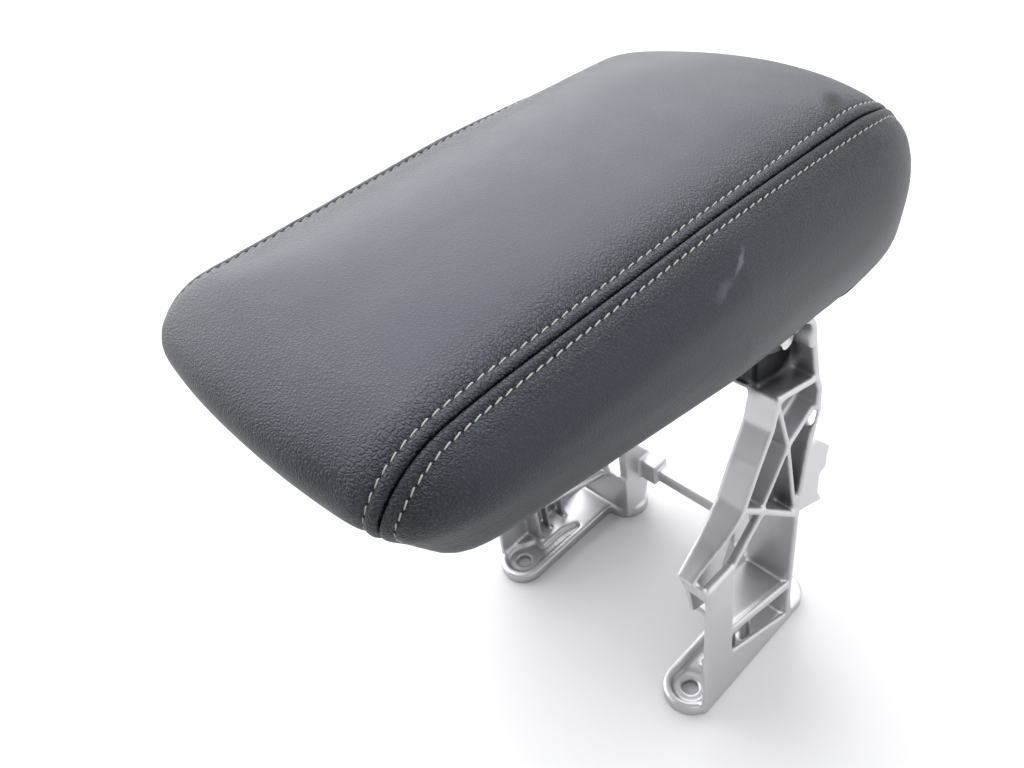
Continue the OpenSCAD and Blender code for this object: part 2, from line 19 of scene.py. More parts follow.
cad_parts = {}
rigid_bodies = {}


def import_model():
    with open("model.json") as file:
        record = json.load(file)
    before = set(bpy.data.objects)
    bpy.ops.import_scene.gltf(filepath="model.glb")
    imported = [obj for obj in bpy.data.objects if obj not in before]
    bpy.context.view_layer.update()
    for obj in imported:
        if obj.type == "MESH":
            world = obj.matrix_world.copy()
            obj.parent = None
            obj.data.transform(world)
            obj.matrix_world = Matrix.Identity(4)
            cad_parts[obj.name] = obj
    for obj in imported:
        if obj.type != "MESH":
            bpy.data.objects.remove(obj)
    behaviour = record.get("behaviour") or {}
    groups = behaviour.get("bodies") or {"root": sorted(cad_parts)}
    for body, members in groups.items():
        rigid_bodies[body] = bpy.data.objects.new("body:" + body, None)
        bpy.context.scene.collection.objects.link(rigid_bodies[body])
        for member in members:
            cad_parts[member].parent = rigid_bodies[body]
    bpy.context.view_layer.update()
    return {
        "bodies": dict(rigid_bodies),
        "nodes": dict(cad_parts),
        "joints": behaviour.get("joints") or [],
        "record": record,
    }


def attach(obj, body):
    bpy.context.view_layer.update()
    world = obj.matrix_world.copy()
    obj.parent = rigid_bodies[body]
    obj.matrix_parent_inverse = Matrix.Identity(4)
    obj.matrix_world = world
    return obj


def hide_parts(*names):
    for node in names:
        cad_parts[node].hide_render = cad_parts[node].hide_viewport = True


LOG = logging.getLogger("armrest")
MM = 0.001


# ----- small helpers


def linear(code: str) -> tuple[float, float, float, float]:
    """Turns an sRGB hex colour into linear values.

    Args:
        code: Colour as "#rrggbb".

    Returns:
        Red, green, blue and alpha for a shader socket.
    """
    parts = [int(code[i:i + 2], 16) / 255 for i in (1, 3, 5)]
    return tuple(c / 12.92 if c <= 0.04045 else ((c + 0.055) / 1.055) ** 2.4 for c in parts) + (1.0,)


def add_node(tree: bpy.types.NodeTree, kind: str, links: dict | None = None, **settings) -> bpy.types.Node:
    """Adds one node with its settings and links.

    Args:
        tree: Node tree that takes the node.
        kind: Blender's name of the node type, without the ShaderNode prefix.
        links: Output socket for each input, by the input's name or number.
        **settings: Node properties, or values of inputs where an underscore stands for a space.

    Returns:
        The new node.
    """
    node = tree.nodes.new("ShaderNode" + kind)
    for name, value in settings.items():
        if hasattr(node, name):
            setattr(node, name, value)
        else:
            node.inputs[name.replace("_", " ")].default_value = value
    for name, socket in (links or {}).items():
        tree.links.new(socket, node.inputs[name])
    return node


def smooth01(x: np.ndarray | float, a: float, b: float) -> np.ndarray | float:
    """Eased step that is 0 at a and 1 at b."""
    t = np.clip((np.asarray(x, dtype=float) - a) / (b - a), 0.0, 1.0)
    return t * t * (3 - 2 * t)


def mesh_object(name: str, points: np.ndarray, faces: list, smooth: bool = True) -> bpy.types.Object:
    """Makes an object from points and faces, with the faces of closed forms turned outwards.

    Args:
        name: Name of the piece.
        points: Vertex positions in metres, one row each.
        faces: Vertex numbers of each face.
        smooth: Whether the faces are shaded smooth.

    Returns:
        The linked object.
    """
    mesh = bpy.data.meshes.new(name)
    mesh.from_pydata([tuple(p) for p in points], [], [tuple(int(i) for i in f) for f in faces])
    mesh.validate()
    work = bmesh.new()
    work.from_mesh(mesh)
    bmesh.ops.recalc_face_normals(work, faces=work.faces)
    work.to_mesh(mesh)
    work.free()
    if smooth:
        mesh.shade_smooth()
    obj = bpy.data.objects.new(name, mesh)
    bpy.context.collection.objects.link(obj)
    return obj


def put_floats(obj: bpy.types.Object, name: str, values: np.ndarray) -> None:
    """Stores one number for each vertex as a named attribute.

    Args:
        obj: Object whose mesh takes the attribute.
        name: Name of the attribute.
        values: One value for each vertex.
    """
    attribute = obj.data.attributes.new(name, "FLOAT", "POINT")
    attribute.data.foreach_set("value", np.asarray(values, dtype=np.float32))


def applied(obj: bpy.types.Object) -> bpy.types.Object:
    """Applies all modifiers of an object to its mesh.

    Args:
        obj: Object with modifiers.

    Returns:
        The same object, with a plain mesh.
    """
    graph = bpy.context.evaluated_depsgraph_get()
    mesh = bpy.data.meshes.new_from_object(obj.evaluated_get(graph))
    obj.modifiers.clear()
    old, obj.data = obj.data, mesh
    bpy.data.meshes.remove(old)
    return obj


# ----- finishes


@dataclass(frozen=True)
class Mark:
    """One mark of use on the cover: its middle, half sizes, turn in degrees and strength."""

    at_mm: tuple[float, float, float]
    radii_mm: tuple[float, float, float]
    turn: tuple[float, float, float]
    strength: float


# Dull spot from handling at the rear of the top, and two scuffed streaks on the right side
SMUDGE = Mark((51.8, 111.6, 284.5), (5.6, 13.0, 12.0), (0.0, 0.0, 29.0), 1.0)
SCUFFS = (Mark((79.7, 12.3, 276.3), (20.0, 1.3, 8.0), (-64.0, 0.0, 0.0), 0.7),
          Mark((81.9, 0.7, 273.0), (20.0, 2.6, 7.0), (-74.0, 0.0, 0.0), 0.32))


@dataclass(frozen=True)
class Leatherette:
    """PVC leatherette on a knitted backing, embossed with a fine pebbled grain under a satin lacquer."""

    name: str = "leatherette_embossed"
    hide: str = "#1e2026"
    # Colour of the painted shade between the pebbles, in the creases and down in the seam
    valley_shade: str = "#0b0c0e"
    grain_mm: float = 1.1
    grain_deep_mm: float = 0.24
    # The emboss runs longer across the lid and down its sides than along it
    grain_stretch: float = 1.4
    # Creases beside the seams: their width along the seam, how many times longer they are, and their depth
    wrinkle_mm: float = 1.35
    wrinkle_long: float = 1.6
    wrinkle_deep_mm: float = 0.6
    roughness: float = 0.46
    specular: float = 0.46
    # The lacquer reflects a little cooler than it is lit
    sheen_tint: tuple[float, float, float, float] = (0.82, 0.88, 1.0, 1.0)
    # The nose, from where forwards the grain is crisp as well
    nose_y_mm: tuple[float, float] = (-78.0, -112.0)

    def spot(self, t: bpy.types.NodeTree, where: bpy.types.NodeSocket, mark: Mark) -> bpy.types.NodeSocket:
        """Adds a soft long or round mask with a ragged border.

        Args:
            t: Node tree.
            where: Position, in metres.
            mark: The mark's place, size and strength.

        Returns:
            The mask's socket, the mark's strength inside and 0 outside.
        """
        laid = add_node(t, "Mapping", {"Vector": where}, vector_type="TEXTURE")
        laid.inputs["Location"].default_value = tuple(v * MM for v in mark.at_mm)
        laid.inputs["Rotation"].default_value = tuple(math.radians(v) for v in mark.turn)
        laid.inputs["Scale"].default_value = tuple(v * MM for v in mark.radii_mm)
        away = add_node(t, "VectorMath", {0: laid.outputs[0]}, operation="LENGTH")
        mask = add_node(t, "MapRange", {"Value": away.outputs["Value"]}, interpolation_type="SMOOTHSTEP")
        for socket, value in {"From Min": 1.0, "From Max": 0.15, "To Min": 0.0, "To Max": mark.strength}.items():
            mask.inputs[socket].default_value = value
        return mask.outputs[0]

    def material(self) -> bpy.types.Material:
        """Builds the material: pebbles, fine creases beside the seams, painted shade between the pebbles, in the
        creases and down in the groove.
        """
        mat = bpy.data.materials.new(self.name)
        mat.use_nodes = True
        t = mat.node_tree
        t.nodes.clear()
        place = add_node(t, "TexCoord").outputs["Object"]
        seam = add_node(t, "Attribute", attribute_name="seam_mm").outputs["Fac"]
        run = add_node(t, "Attribute", attribute_name="run_mm").outputs["Fac"]
        # Pebbles: cells with pressed-in borders, warped so that no two are alike
        warp = add_node(t, "TexNoise", {"Vector": place}, Scale=1 / (2.6 * MM), Detail=2.0)
        shift = add_node(t, "VectorMath", {0: warp.outputs["Color"]}, operation="SCALE", Scale=1.1 * MM)
        moved = add_node(t, "VectorMath", {0: place, 1: shift.outputs[0]}, operation="ADD")
        drawn = add_node(t, "VectorMath", {0: moved.outputs[0]}, operation="MULTIPLY")
        drawn.inputs[1].default_value = (1 / self.grain_stretch, 1.0, 1 / self.grain_stretch)
        cells = add_node(t, "TexVoronoi", {"Vector": drawn.outputs[0]}, feature="DISTANCE_TO_EDGE",
                         Scale=1 / (self.grain_mm * MM), Randomness=1.0)
        pebble = add_node(t, "MapRange", {"Value": cells.outputs["Distance"]}, interpolation_type="SMOOTHSTEP")
        for socket, value in {"From Min": 0.0, "From Max": 0.3, "To Min": 0.0, "To Max": 1.0}.items():
            pebble.inputs[socket].default_value = value
        fine = add_node(t, "TexNoise", {"Vector": drawn.outputs[0]}, Scale=1 / (0.8 * MM), Detail=2.0)
        rise = add_node(t, "Math", {0: pebble.outputs[0], 1: fine.outputs["Fac"]}, operation="MULTIPLY")
        patches = add_node(t, "TexNoise", {"Vector": place}, Scale=1 / (16 * MM), Detail=2.0)
        # Beside the seams the stretched hide creases into longer scales that run out from the seam
        run_scaled = add_node(t, "Math", {0: run}, operation="DIVIDE")
        run_scaled.inputs[1].default_value = self.wrinkle_mm
        seam_scaled = add_node(t, "Math", {0: seam}, operation="DIVIDE")
        seam_scaled.inputs[1].default_value = self.wrinkle_mm * self.wrinkle_long
        across = add_node(t, "CombineXYZ", {0: run_scaled.outputs[0], 1: seam_scaled.outputs[0]})
        bent = add_node(t, "TexNoise", {"Vector": across.outputs[0]}, Scale=0.8, Detail=2.0)
        bend = add_node(t, "VectorMath", {0: bent.outputs["Color"]}, operation="SCALE", Scale=1.3)
        curved = add_node(t, "VectorMath", {0: across.outputs[0], 1: bend.outputs[0]}, operation="ADD")
        scales = add_node(t, "TexVoronoi", {"Vector": curved.outputs[0]}, voronoi_dimensions="2D",
                          feature="DISTANCE_TO_EDGE", Scale=1.0, Randomness=1.0)
        ridge = add_node(t, "MapRange", {"Value": scales.outputs["Distance"]}, interpolation_type="SMOOTHSTEP")
        for socket, value in {"From Min": 0.0, "From Max": 0.22, "To Min": 0.0, "To Max": 1.0}.items():
            ridge.inputs[socket].default_value = value
        near = add_node(t, "MapRange", {"Value": seam}, interpolation_type="SMOOTHSTEP")
        for socket, value in {"From Min": 4.0, "From Max": 19.0, "To Min": 0.8, "To Max": 0.0}.items():
            near.inputs[socket].default_value = value
        # The flat of the top is pressed smoother than what lies near the seams
        crisp = add_node(t, "MapRange", {"Value": seam}, interpolation_type="SMOOTHSTEP")
        for socket, value in {"From Min": 8.0, "From Max": 30.0, "To Min": 1.0, "To Max": 0.36}.items():
            crisp.inputs[socket].default_value = value
        along = add_node(t, "SeparateXYZ", {0: place})
        nose = add_node(t, "MapRange", {"Value": along.outputs[1]}, interpolation_type="SMOOTHSTEP")
        for socket, value in {"From Min": self.nose_y_mm[0] * MM, "From Max": self.nose_y_mm[1] * MM, "To Min": 0.0,
                              "To Max": 0.95}.items():
            nose.inputs[socket].default_value = value
        crisp = add_node(t, "Math", {0: crisp.outputs[0], 1: nose.outputs[0]}, operation="MAXIMUM")
        crease_height = add_node(t, "Math", {0: ridge.outputs[0], 1: near.outputs[0]}, operation="MULTIPLY")
        bump_crease = add_node(t, "Bump", {"Height": crease_height.outputs[0]}, Strength=0.7,
                               Distance=self.wrinkle_deep_mm * MM)
        pressed = add_node(t, "Math", {0: rise.outputs[0], 1: crisp.outputs[0]}, operation="MULTIPLY")
        bump_grain = add_node(t, "Bump", {"Height": pressed.outputs[0], "Normal": bump_crease.outputs[0]},
                              Strength=0.9, Distance=self.grain_deep_mm * MM)
        # Colour: painted shade between the pebbles, in the creases and down in the seam
        # Painted shade down in the seam's groove, near black at its middle
        groove = add_node(t, "MapRange", {"Value": seam}, interpolation_type="SMOOTHSTEP")
        for socket, value in {"From Min": 0.15, "From Max": 0.5, "To Min": 0.05, "To Max": 1.0}.items():
            groove.inputs[socket].default_value = value
        fading = add_node(t, "Math", {0: near.outputs[0], 1: ridge.outputs[0]}, operation="MULTIPLY")
        plain = add_node(t, "Math", {1: near.outputs[0]}, operation="SUBTRACT")
        plain.inputs[0].default_value = 1.0
        crease_shade = add_node(t, "Math", {0: fading.outputs[0], 1: plain.outputs[0]}, operation="ADD")
        # The painted shade between the pebbles is weaker where the grain is pressed smooth
        softened = add_node(t, "Mix", {"Factor": crisp.outputs[0], "B": pebble.outputs[0]}, data_type="FLOAT")
        softened.inputs["A"].default_value = 0.85
        tone = add_node(t, "Math", {0: softened.outputs[0], 1: groove.outputs[0]}, operation="MULTIPLY")
        tone = add_node(t, "Math", {0: tone.outputs[0], 1: crease_shade.outputs[0]}, operation="MULTIPLY")
        skin = add_node(t, "Mix", {"Factor": tone.outputs[0]}, data_type="RGBA")
        skin.inputs["A"].default_value = linear(self.valley_shade)
        skin.inputs["B"].default_value = linear(self.hide)
        # Marks of use
        colour = skin.outputs["Result"]
        ragged = add_node(t, "VectorMath", {0: warp.outputs["Color"]}, operation="SCALE", Scale=2.4 * MM)
        torn = add_node(t, "VectorMath", {0: place, 1: ragged.outputs[0]}, operation="ADD").outputs[0]
        centred = add_node(t, "VectorMath", {0: torn}, operation="SUBTRACT")
        centred.inputs[1].default_value = (1.2 * MM,) * 3
        dull = self.spot(t, centred.outputs[0], SMUDGE)
        stained = add_node(t, "Mix", {"Factor": dull, "A": colour}, data_type="RGBA")
        stained.inputs["B"].default_value = linear("#201c17")
        colour = stained.outputs["Result"]
        for mark in SCUFFS:
            wear_and_shade = self.spot(t, centred.outputs[0], mark)
            light = add_node(t, "Mix", {"Factor": wear_and_shade, "A": colour}, data_type="RGBA")
            light.inputs["B"].default_value = linear("#5b5e64")
            colour = light.outputs["Result"]
        rough = add_node(t, "MapRange", {"Value": patches.outputs["Fac"]})
        for socket, value in {"From Min": 0.3, "From Max": 0.7, "To Min": self.roughness - 0.012,
                              "To Max": self.roughness + 0.012}.items():
            rough.inputs[socket].default_value = value
        duller = add_node(t, "Mix", {"Factor": dull, "A": rough.outputs[0]}, data_type="FLOAT")
        duller.inputs["B"].default_value = 0.74
        shader = add_node(t, "BsdfPrincipled", {"Base Color": colour, "Roughness": duller.outputs[0],
                                                "Normal": bump_grain.outputs[0]}, IOR=1.5)
        shader.inputs["Specular IOR Level"].default_value = self.specular
        shader.inputs["Specular Tint"].default_value = self.sheen_tint
        add_node(t, "OutputMaterial", {"Surface": shader.outputs[0]})
        return mat


@dataclass(frozen=True)
class CastAluminium:
    """Die-cast aluminium, tumbled: a dull fine-grained skin, bright where edges were worn round."""

    name: str = "aluminium_die_cast_tumbled"
    colour: str = "#cbcbcc"
    dark: str = "#bbbbbd"
    hinge_shade: str = "#17181b"
    roughness: float = 0.44
    grain_mm: float = 1.0
    grain_deep_mm: float = 0.05
    edge_mm: float = 1.3
    # Painted deep shade on the inner faces round the hinge, under the lid, and how far it reaches
    hinge_mm: tuple[float, float] = (57.0, 204.0)
    hinge_shade_reach_mm: tuple[float, float] = (24.5, 15.5)
    hinge_shade_x_mm: tuple[float, float] = (73.0, 66.5)

    def material(self) -> bpy.types.Material:
        """Builds the metal: casting skin, painted shade in the pockets and under the lid, and painted near-black shade
        round the hinge.
        """
        mat = bpy.data.materials.new(self.name)
        mat.use_nodes = True
        t = mat.node_tree
        t.nodes.clear()
        place = add_node(t, "TexCoord").outputs["Object"]
        grain = add_node(t, "TexNoise", {"Vector": place}, Scale=1 / (self.grain_mm * MM), Detail=3.0)
        patches = add_node(t, "TexNoise", {"Vector": place}, Scale=1 / (13 * MM), Detail=4.0, Roughness=0.6)
        edge = add_node(t, "Bevel", samples=6, Radius=self.edge_mm * MM)
        bump = add_node(t, "Bump", {"Height": grain.outputs["Fac"], "Normal": edge.outputs[0]}, Strength=0.6,
                        Distance=self.grain_deep_mm * MM)
        tone = add_node(t, "Mix", {"Factor": patches.outputs["Fac"]}, data_type="RGBA")
        tone.inputs["A"].default_value = linear(self.dark)
        tone.inputs["B"].default_value = linear(self.colour)
        # Painted shade: pockets and faces closed in under the lid turn a duller grey-blue, by ambient occlusion
        hollow = add_node(t, "AmbientOcclusion", samples=8, Distance=22 * MM)
        open_share = add_node(t, "MapRange", {"Value": hollow.outputs["AO"]}, interpolation_type="SMOOTHSTEP")
        for socket, value in {"From Min": 0.05, "From Max": 0.8, "To Min": 0.6, "To Max": 1.0}.items():
            open_share.inputs[socket].default_value = value
        wear_and_shade = add_node(t, "Mix", {"Factor": open_share.outputs[0], "B": tone.outputs["Result"]}, data_type="RGBA")
        wear_and_shade.inputs["A"].default_value = linear("#70727a")
        # Painted shade round the hinge, near black under the lid
        parts = add_node(t, "SeparateXYZ", {0: place})
        flat = add_node(t, "CombineXYZ", {1: parts.outputs[1], 2: parts.outputs[2]})
        away = add_node(t, "VectorMath", {0: flat.outputs[0]}, operation="DISTANCE")
        away.inputs[1].default_value = (0.0, self.hinge_mm[0] * MM, self.hinge_mm[1] * MM)
        round_hinge = add_node(t, "MapRange", {"Value": away.outputs["Value"]}, interpolation_type="SMOOTHSTEP")
        aside = add_node(t, "Math", {0: parts.outputs[0]}, operation="ABSOLUTE")
        inner = add_node(t, "MapRange", {"Value": aside.outputs[0]}, interpolation_type="SMOOTHSTEP")
        for node, (outer_end, inner_end) in ((round_hinge, self.hinge_shade_reach_mm), (inner, self.hinge_shade_x_mm)):
            for socket, value in {"From Min": outer_end * MM, "From Max": inner_end * MM, "To Min": 0.0,
                                  "To Max": 1.0}.items():
                node.inputs[socket].default_value = value
        hinge_shade = add_node(t, "Math", {0: round_hinge.outputs[0], 1: inner.outputs[0]}, operation="MULTIPLY")
        colour = add_node(t, "Mix", {"Factor": hinge_shade.outputs[0], "A": wear_and_shade.outputs["Result"]}, data_type="RGBA")
        colour.inputs["B"].default_value = linear(self.hinge_shade)
        rough = add_node(t, "MapRange", {"Value": patches.outputs["Fac"]})
        for socket, value in {"From Min": 0.3, "From Max": 0.7, "To Min": self.roughness - 0.06,
                              "To Max": self.roughness + 0.06}.items():
            rough.inputs[socket].default_value = value
        shader = add_node(t, "BsdfPrincipled", {"Base Color": colour.outputs["Result"],
                                                "Roughness": rough.outputs[0], "Normal": bump.outputs[0]},
                          Metallic=1.0)
        add_node(t, "OutputMaterial", {"Surface": shader.outputs[0]})
        return mat


@dataclass(frozen=True)
class Metal:
    """A bare or plated metal with the marks of how it was made."""

    name: str
    colour: str
    roughness: float
    # Size and depth of the surface's unevenness
    grain_mm: float
    grain_deep_mm: float
    # Stretch of the grain along X, more than 1 for turned or ground parts
    stretch: float = 1.0
    # Radius that the eye reads at the edges, from tumbling or pressing
    edge_mm: float = 0.3
    dark: str = ""

    def material(self) -> bpy.types.Material:
        """Builds the metal, with softened edges, fine unevenness and patches of duller tone."""
        mat = bpy.data.materials.new(self.name)
        mat.use_nodes = True
        t = mat.node_tree
        t.nodes.clear()
        place = add_node(t, "TexCoord").outputs["Object"]
        drawn = add_node(t, "VectorMath", {0: place}, operation="MULTIPLY")
        drawn.inputs[1].default_value = (1 / self.stretch, 1.0, 1.0)
        grain = add_node(t, "TexNoise", {"Vector": drawn.outputs[0]}, Scale=1 / (self.grain_mm * MM), Detail=3.0)
        patches = add_node(t, "TexNoise", {"Vector": place}, Scale=1 / (14 * MM), Detail=3.0)
        edge = add_node(t, "Bevel", samples=6, Radius=self.edge_mm * MM)
        bump = add_node(t, "Bump", {"Height": grain.outputs["Fac"], "Normal": edge.outputs[0]}, Strength=0.6,
                        Distance=self.grain_deep_mm * MM)
        tone = add_node(t, "Mix", {"Factor": patches.outputs["Fac"]}, data_type="RGBA")
        tone.inputs["A"].default_value = linear(self.dark or self.colour)
        tone.inputs["B"].default_value = linear(self.colour)
        rough = add_node(t, "MapRange", {"Value": patches.outputs["Fac"]})
        for socket, value in {"From Min": 0.3, "From Max": 0.7, "To Min": self.roughness - 0.05,
                              "To Max": self.roughness + 0.05}.items():
            rough.inputs[socket].default_value = value
        shader = add_node(t, "BsdfPrincipled", {"Base Color": tone.outputs["Result"], "Roughness": rough.outputs[0],
                                                "Normal": bump.outputs[0]}, Metallic=1.0)
        add_node(t, "OutputMaterial", {"Surface": shader.outputs[0]})
        return mat


@dataclass(frozen=True)
class Dull:
    """A non-metal without gloss: moulded plastic, rubber, foam, thread or a painted floor."""

    name: str
    colour: str
    dark: str
    roughness: float
    grain_mm: float
    grain_deep_mm: float
    ior: float = 1.5
    edge_mm: float = 0.0

    def material(self) -> bpy.types.Material:
        """Builds the finish: a moulded, foamed or spun texture over two close tones."""
        mat = bpy.data.materials.new(self.name)
        mat.use_nodes = True
        t = mat.node_tree
        t.nodes.clear()
        place = add_node(t, "TexCoord").outputs["Object"]
        grain = add_node(t, "TexNoise", {"Vector": place}, Scale=1 / (self.grain_mm * MM), Detail=4.0, Roughness=0.6)
        tone = add_node(t, "Mix", {"Factor": grain.outputs["Fac"]}, data_type="RGBA")
        tone.inputs["A"].default_value = linear(self.dark)
        tone.inputs["B"].default_value = linear(self.colour)
        bump = add_node(t, "Bump", {"Height": grain.outputs["Fac"]}, Strength=0.7, Distance=self.grain_deep_mm * MM)
        if self.edge_mm:
            edge = add_node(t, "Bevel", samples=4, Radius=self.edge_mm * MM)
            t.links.new(edge.outputs[0], bump.inputs["Normal"])
        shader = add_node(t, "BsdfPrincipled", {"Base Color": tone.outputs["Result"], "Normal": bump.outputs[0]},
                          Roughness=self.roughness, IOR=self.ior)
        add_node(t, "OutputMaterial", {"Surface": shader.outputs[0]})
        return mat


# ----- the lid's shape


@dataclass(frozen=True)
class LidForm:
    """Closed form of the padded lid, in millimetres, from the same named sizes as the CAD source."""

    length: float = 290.0
    width: float = 167.0
    front_t: float = 51.0
    rear_t: float = 82.0
    middle: tuple[float, float, float] = (0.0, 12.0, 285.0)
    hinge_y: float = 57.0
    hinge_z: float = 210.0
    front_bow: float = 4.3
    rear_bow: float = 17.0
    crown: float = 2.8
    bulge: float = 1.3
    corner_r: float = 30.0
    nose_r: tuple[float, float] = (32.0, 19.0)
    tail_r: tuple[float, float] = (55.0, 43.0)
    low_front_r: float = 21.0
    low_rear_r: float = 24.7
    low_side_r: float = 23.2
    low_side_in: float = 4.0
    low_front_in: float = 11.7
    low_rear_in: float = 9.8
    side_drop: float = 20.0
    bow_r: float = 12.0
    bow_x: float = 30.0
    crown_y: float = 70.0
    seam_x: float = 64.7
    # The left seam lies this much further out, so that it is out of sight in the photograph
    left_seam_out: float = 9.6
    opening_w: float = 110.0
    opening_r: float = 26.0
    shell_h: float = 17.0
    # Room that the cover leaves for the trough of the hinge shaft, from the hinge axis
    trough_r: float = 15.2
    trough_down: float = 13.5
    trough_up: float = 11.7
    trough_rear: float = 38.4
    trough_side: float = 79.8

    def from_seam(self, x: np.ndarray) -> np.ndarray:
        """Distance across X from the nearer seam, positive towards the lid's middle."""
        return self.seam_x + np.where(x < 0, self.left_seam_out, 0.0) - np.abs(x)

    @property
    def low_front(self) -> tuple[float, float]:
        """Centre of the lower front round, from the lid's middle, as y and z."""
        return (-self.length / 2 + self.low_front_r + self.low_front_in, -self.front_t + self.low_front_r)

    @property
    def low_rear(self) -> tuple[float, float]:
        """Centre of the lower rear round, from the lid's middle, as y and z."""
        return (self.length / 2 - self.low_rear_r - self.low_rear_in, -self.rear_t + self.low_rear_r)

    @property
    def tilt(self) -> float:
        """Slope of the underside in radians, tangent to the two lower rounds."""
        (fy, fz), (ry, rz) = self.low_front, self.low_rear
        run = math.hypot(ry - fy, rz - fz)
        return math.atan2(fz - rz, ry - fy) + math.asin((self.low_rear_r - self.low_front_r) / run)

    def in_trough(self, local: np.ndarray, room: float) -> bool:
        """Tells whether a point, as x, v, w, lies in the trough or nearer to it than the room in millimetres."""
        x, v, w = local
        return (abs(x) < self.trough_side + room and -self.trough_r - room < v < self.trough_rear + room
                and -self.trough_down - room < w < self.trough_up + room)

    def to_local(self, p: np.ndarray) -> np.ndarray:
        """Turns points in the part's frame into x, v along the underside and w above it, from the hinge axis.

        Args:
            p: Points in millimetres.

        Returns:
            The same points as x, v, w.
        """
        dy, dz = p[..., 1] - self.hinge_y, p[..., 2] - self.hinge_z
        c, s = math.cos(self.tilt), math.sin(self.tilt)
        return np.stack([p[..., 0], dy * c - dz * s, dy * s + dz * c], -1)

    def from_local(self, p: np.ndarray) -> np.ndarray:
        """Turns points given as x, v, w back into the part's frame."""
        c, s = math.cos(self.tilt), math.sin(self.tilt)
        v, w = p[..., 1], p[..., 2]
        return np.stack([p[..., 0], self.hinge_y + v * c + w * s, self.hinge_z - v * s + w * c], -1)

    @property
    def under_w(self) -> float:
        """Height of the underside plane over the hinge axis, across the plane."""
        at = np.array([0.0, self.middle[1] + self.low_rear[0], self.middle[2] + self.low_rear[1]])
        return float(self.to_local(at)[2] - self.low_rear_r)

    @property
    def opening_v(self) -> tuple[float, float]:
        """Front and rear end of the underside opening, along the underside."""
        front = np.array([0.0, self.middle[1] + self.low_front[0], self.middle[2] + self.low_front[1]])
        rear = np.array([0.0, self.middle[1] + self.low_rear[0], self.middle[2] + self.low_rear[1]])
        return float(self.to_local(front)[1]) - 4, float(self.to_local(rear)[1]) + 4

    def rounds(self) -> tuple[np.ndarray, np.ndarray]:
        """Centres and radii of the round forms that the lid's closed form is stretched over."""
        half, cx = self.length / 2, self.width / 2 - self.corner_r
        lx = self.width / 2 - self.low_side_in - self.low_side_r
        sx = self.width / 2 + self.bulge - self.low_side_r
        (fy, fz), (ry, rz) = self.low_front, self.low_rear
        side = (self.low_side_r,) * 3
        found = []
        for k in (-1, 1):
            found += [
                ((k * cx, -half + self.nose_r[0], -self.nose_r[1]), (self.corner_r, *self.nose_r)),
                ((k * cx, half - self.tail_r[0], -self.tail_r[1]), (self.corner_r, *self.tail_r)),
                ((k * lx, fy, fz), (self.low_side_r, self.low_front_r, self.low_front_r)),
                ((k * lx, ry, rz), (self.low_side_r, self.low_rear_r, self.low_rear_r)),
                ((k * sx, 0.0, -self.low_side_r), side),
                ((k * sx, 0.0, -self.low_side_r - self.side_drop), side),
            ]
        for x in (-self.bow_x, 0.0, self.bow_x):
            share = 1 - (x / cx) ** 2
            found += [
                ((x, -half + self.nose_r[0] - self.front_bow * share, -self.nose_r[1]), (self.bow_r, *self.nose_r)),
                ((x, half - self.tail_r[0] + self.rear_bow * share, -self.tail_r[1]), (self.bow_r, *self.tail_r)),
                ((x, fy - self.front_bow * share, fz), (self.bow_r, self.low_front_r, self.low_front_r)),
            ]
        for y in (-self.crown_y, 0.0, self.crown_y):
            top = self.crown * (1 - (2 * y / self.length) ** 2)
            found.append(((0.0, y, top - self.bow_r), (self.bow_r,) * 3))
        centres = np.array([f[0] for f in found]) + np.array(self.middle)
        return centres, np.array([f[1] for f in found])

    def skin(self, directions: int = 26000) -> tuple[np.ndarray, np.ndarray]:
        """Tight skin over the round forms.

        Args:
            directions: Number of outward directions that are tried.

        Returns:
            Points in millimetres, and the triangles between them.
        """
        i = np.arange(directions) + 0.5
        polar, turn = np.arccos(1 - 2 * i / directions), math.pi * (1 + 5 ** 0.5) * i
        n = np.stack([np.cos(turn) * np.sin(polar), np.sin(turn) * np.sin(polar), np.cos(polar)], -1)
        centres, radii = self.rounds()
        reach = n @ centres.T + np.linalg.norm(n[:, None, :] * radii[None], axis=-1)
        best = reach.argmax(1)
        r = radii[best]
        p = centres[best] + r * r * n / np.linalg.norm(n * r, axis=-1)[:, None]
        mesh = bmesh.new()
        for q in p:
            mesh.verts.new(q)
        bmesh.ops.convex_hull(mesh, input=mesh.verts)
        loose = [v for v in mesh.verts if not v.link_faces]
        bmesh.ops.delete(mesh, geom=loose, context="VERTS")
        bmesh.ops.triangulate(mesh, faces=mesh.faces)
        bmesh.ops.recalc_face_normals(mesh, faces=mesh.faces)
        mesh.verts.index_update()
        points = np.array([v.co[:] for v in mesh.verts])
        tris = np.array([[v.index for v in f.verts] for f in mesh.faces])
        mesh.free()
        return points, tris


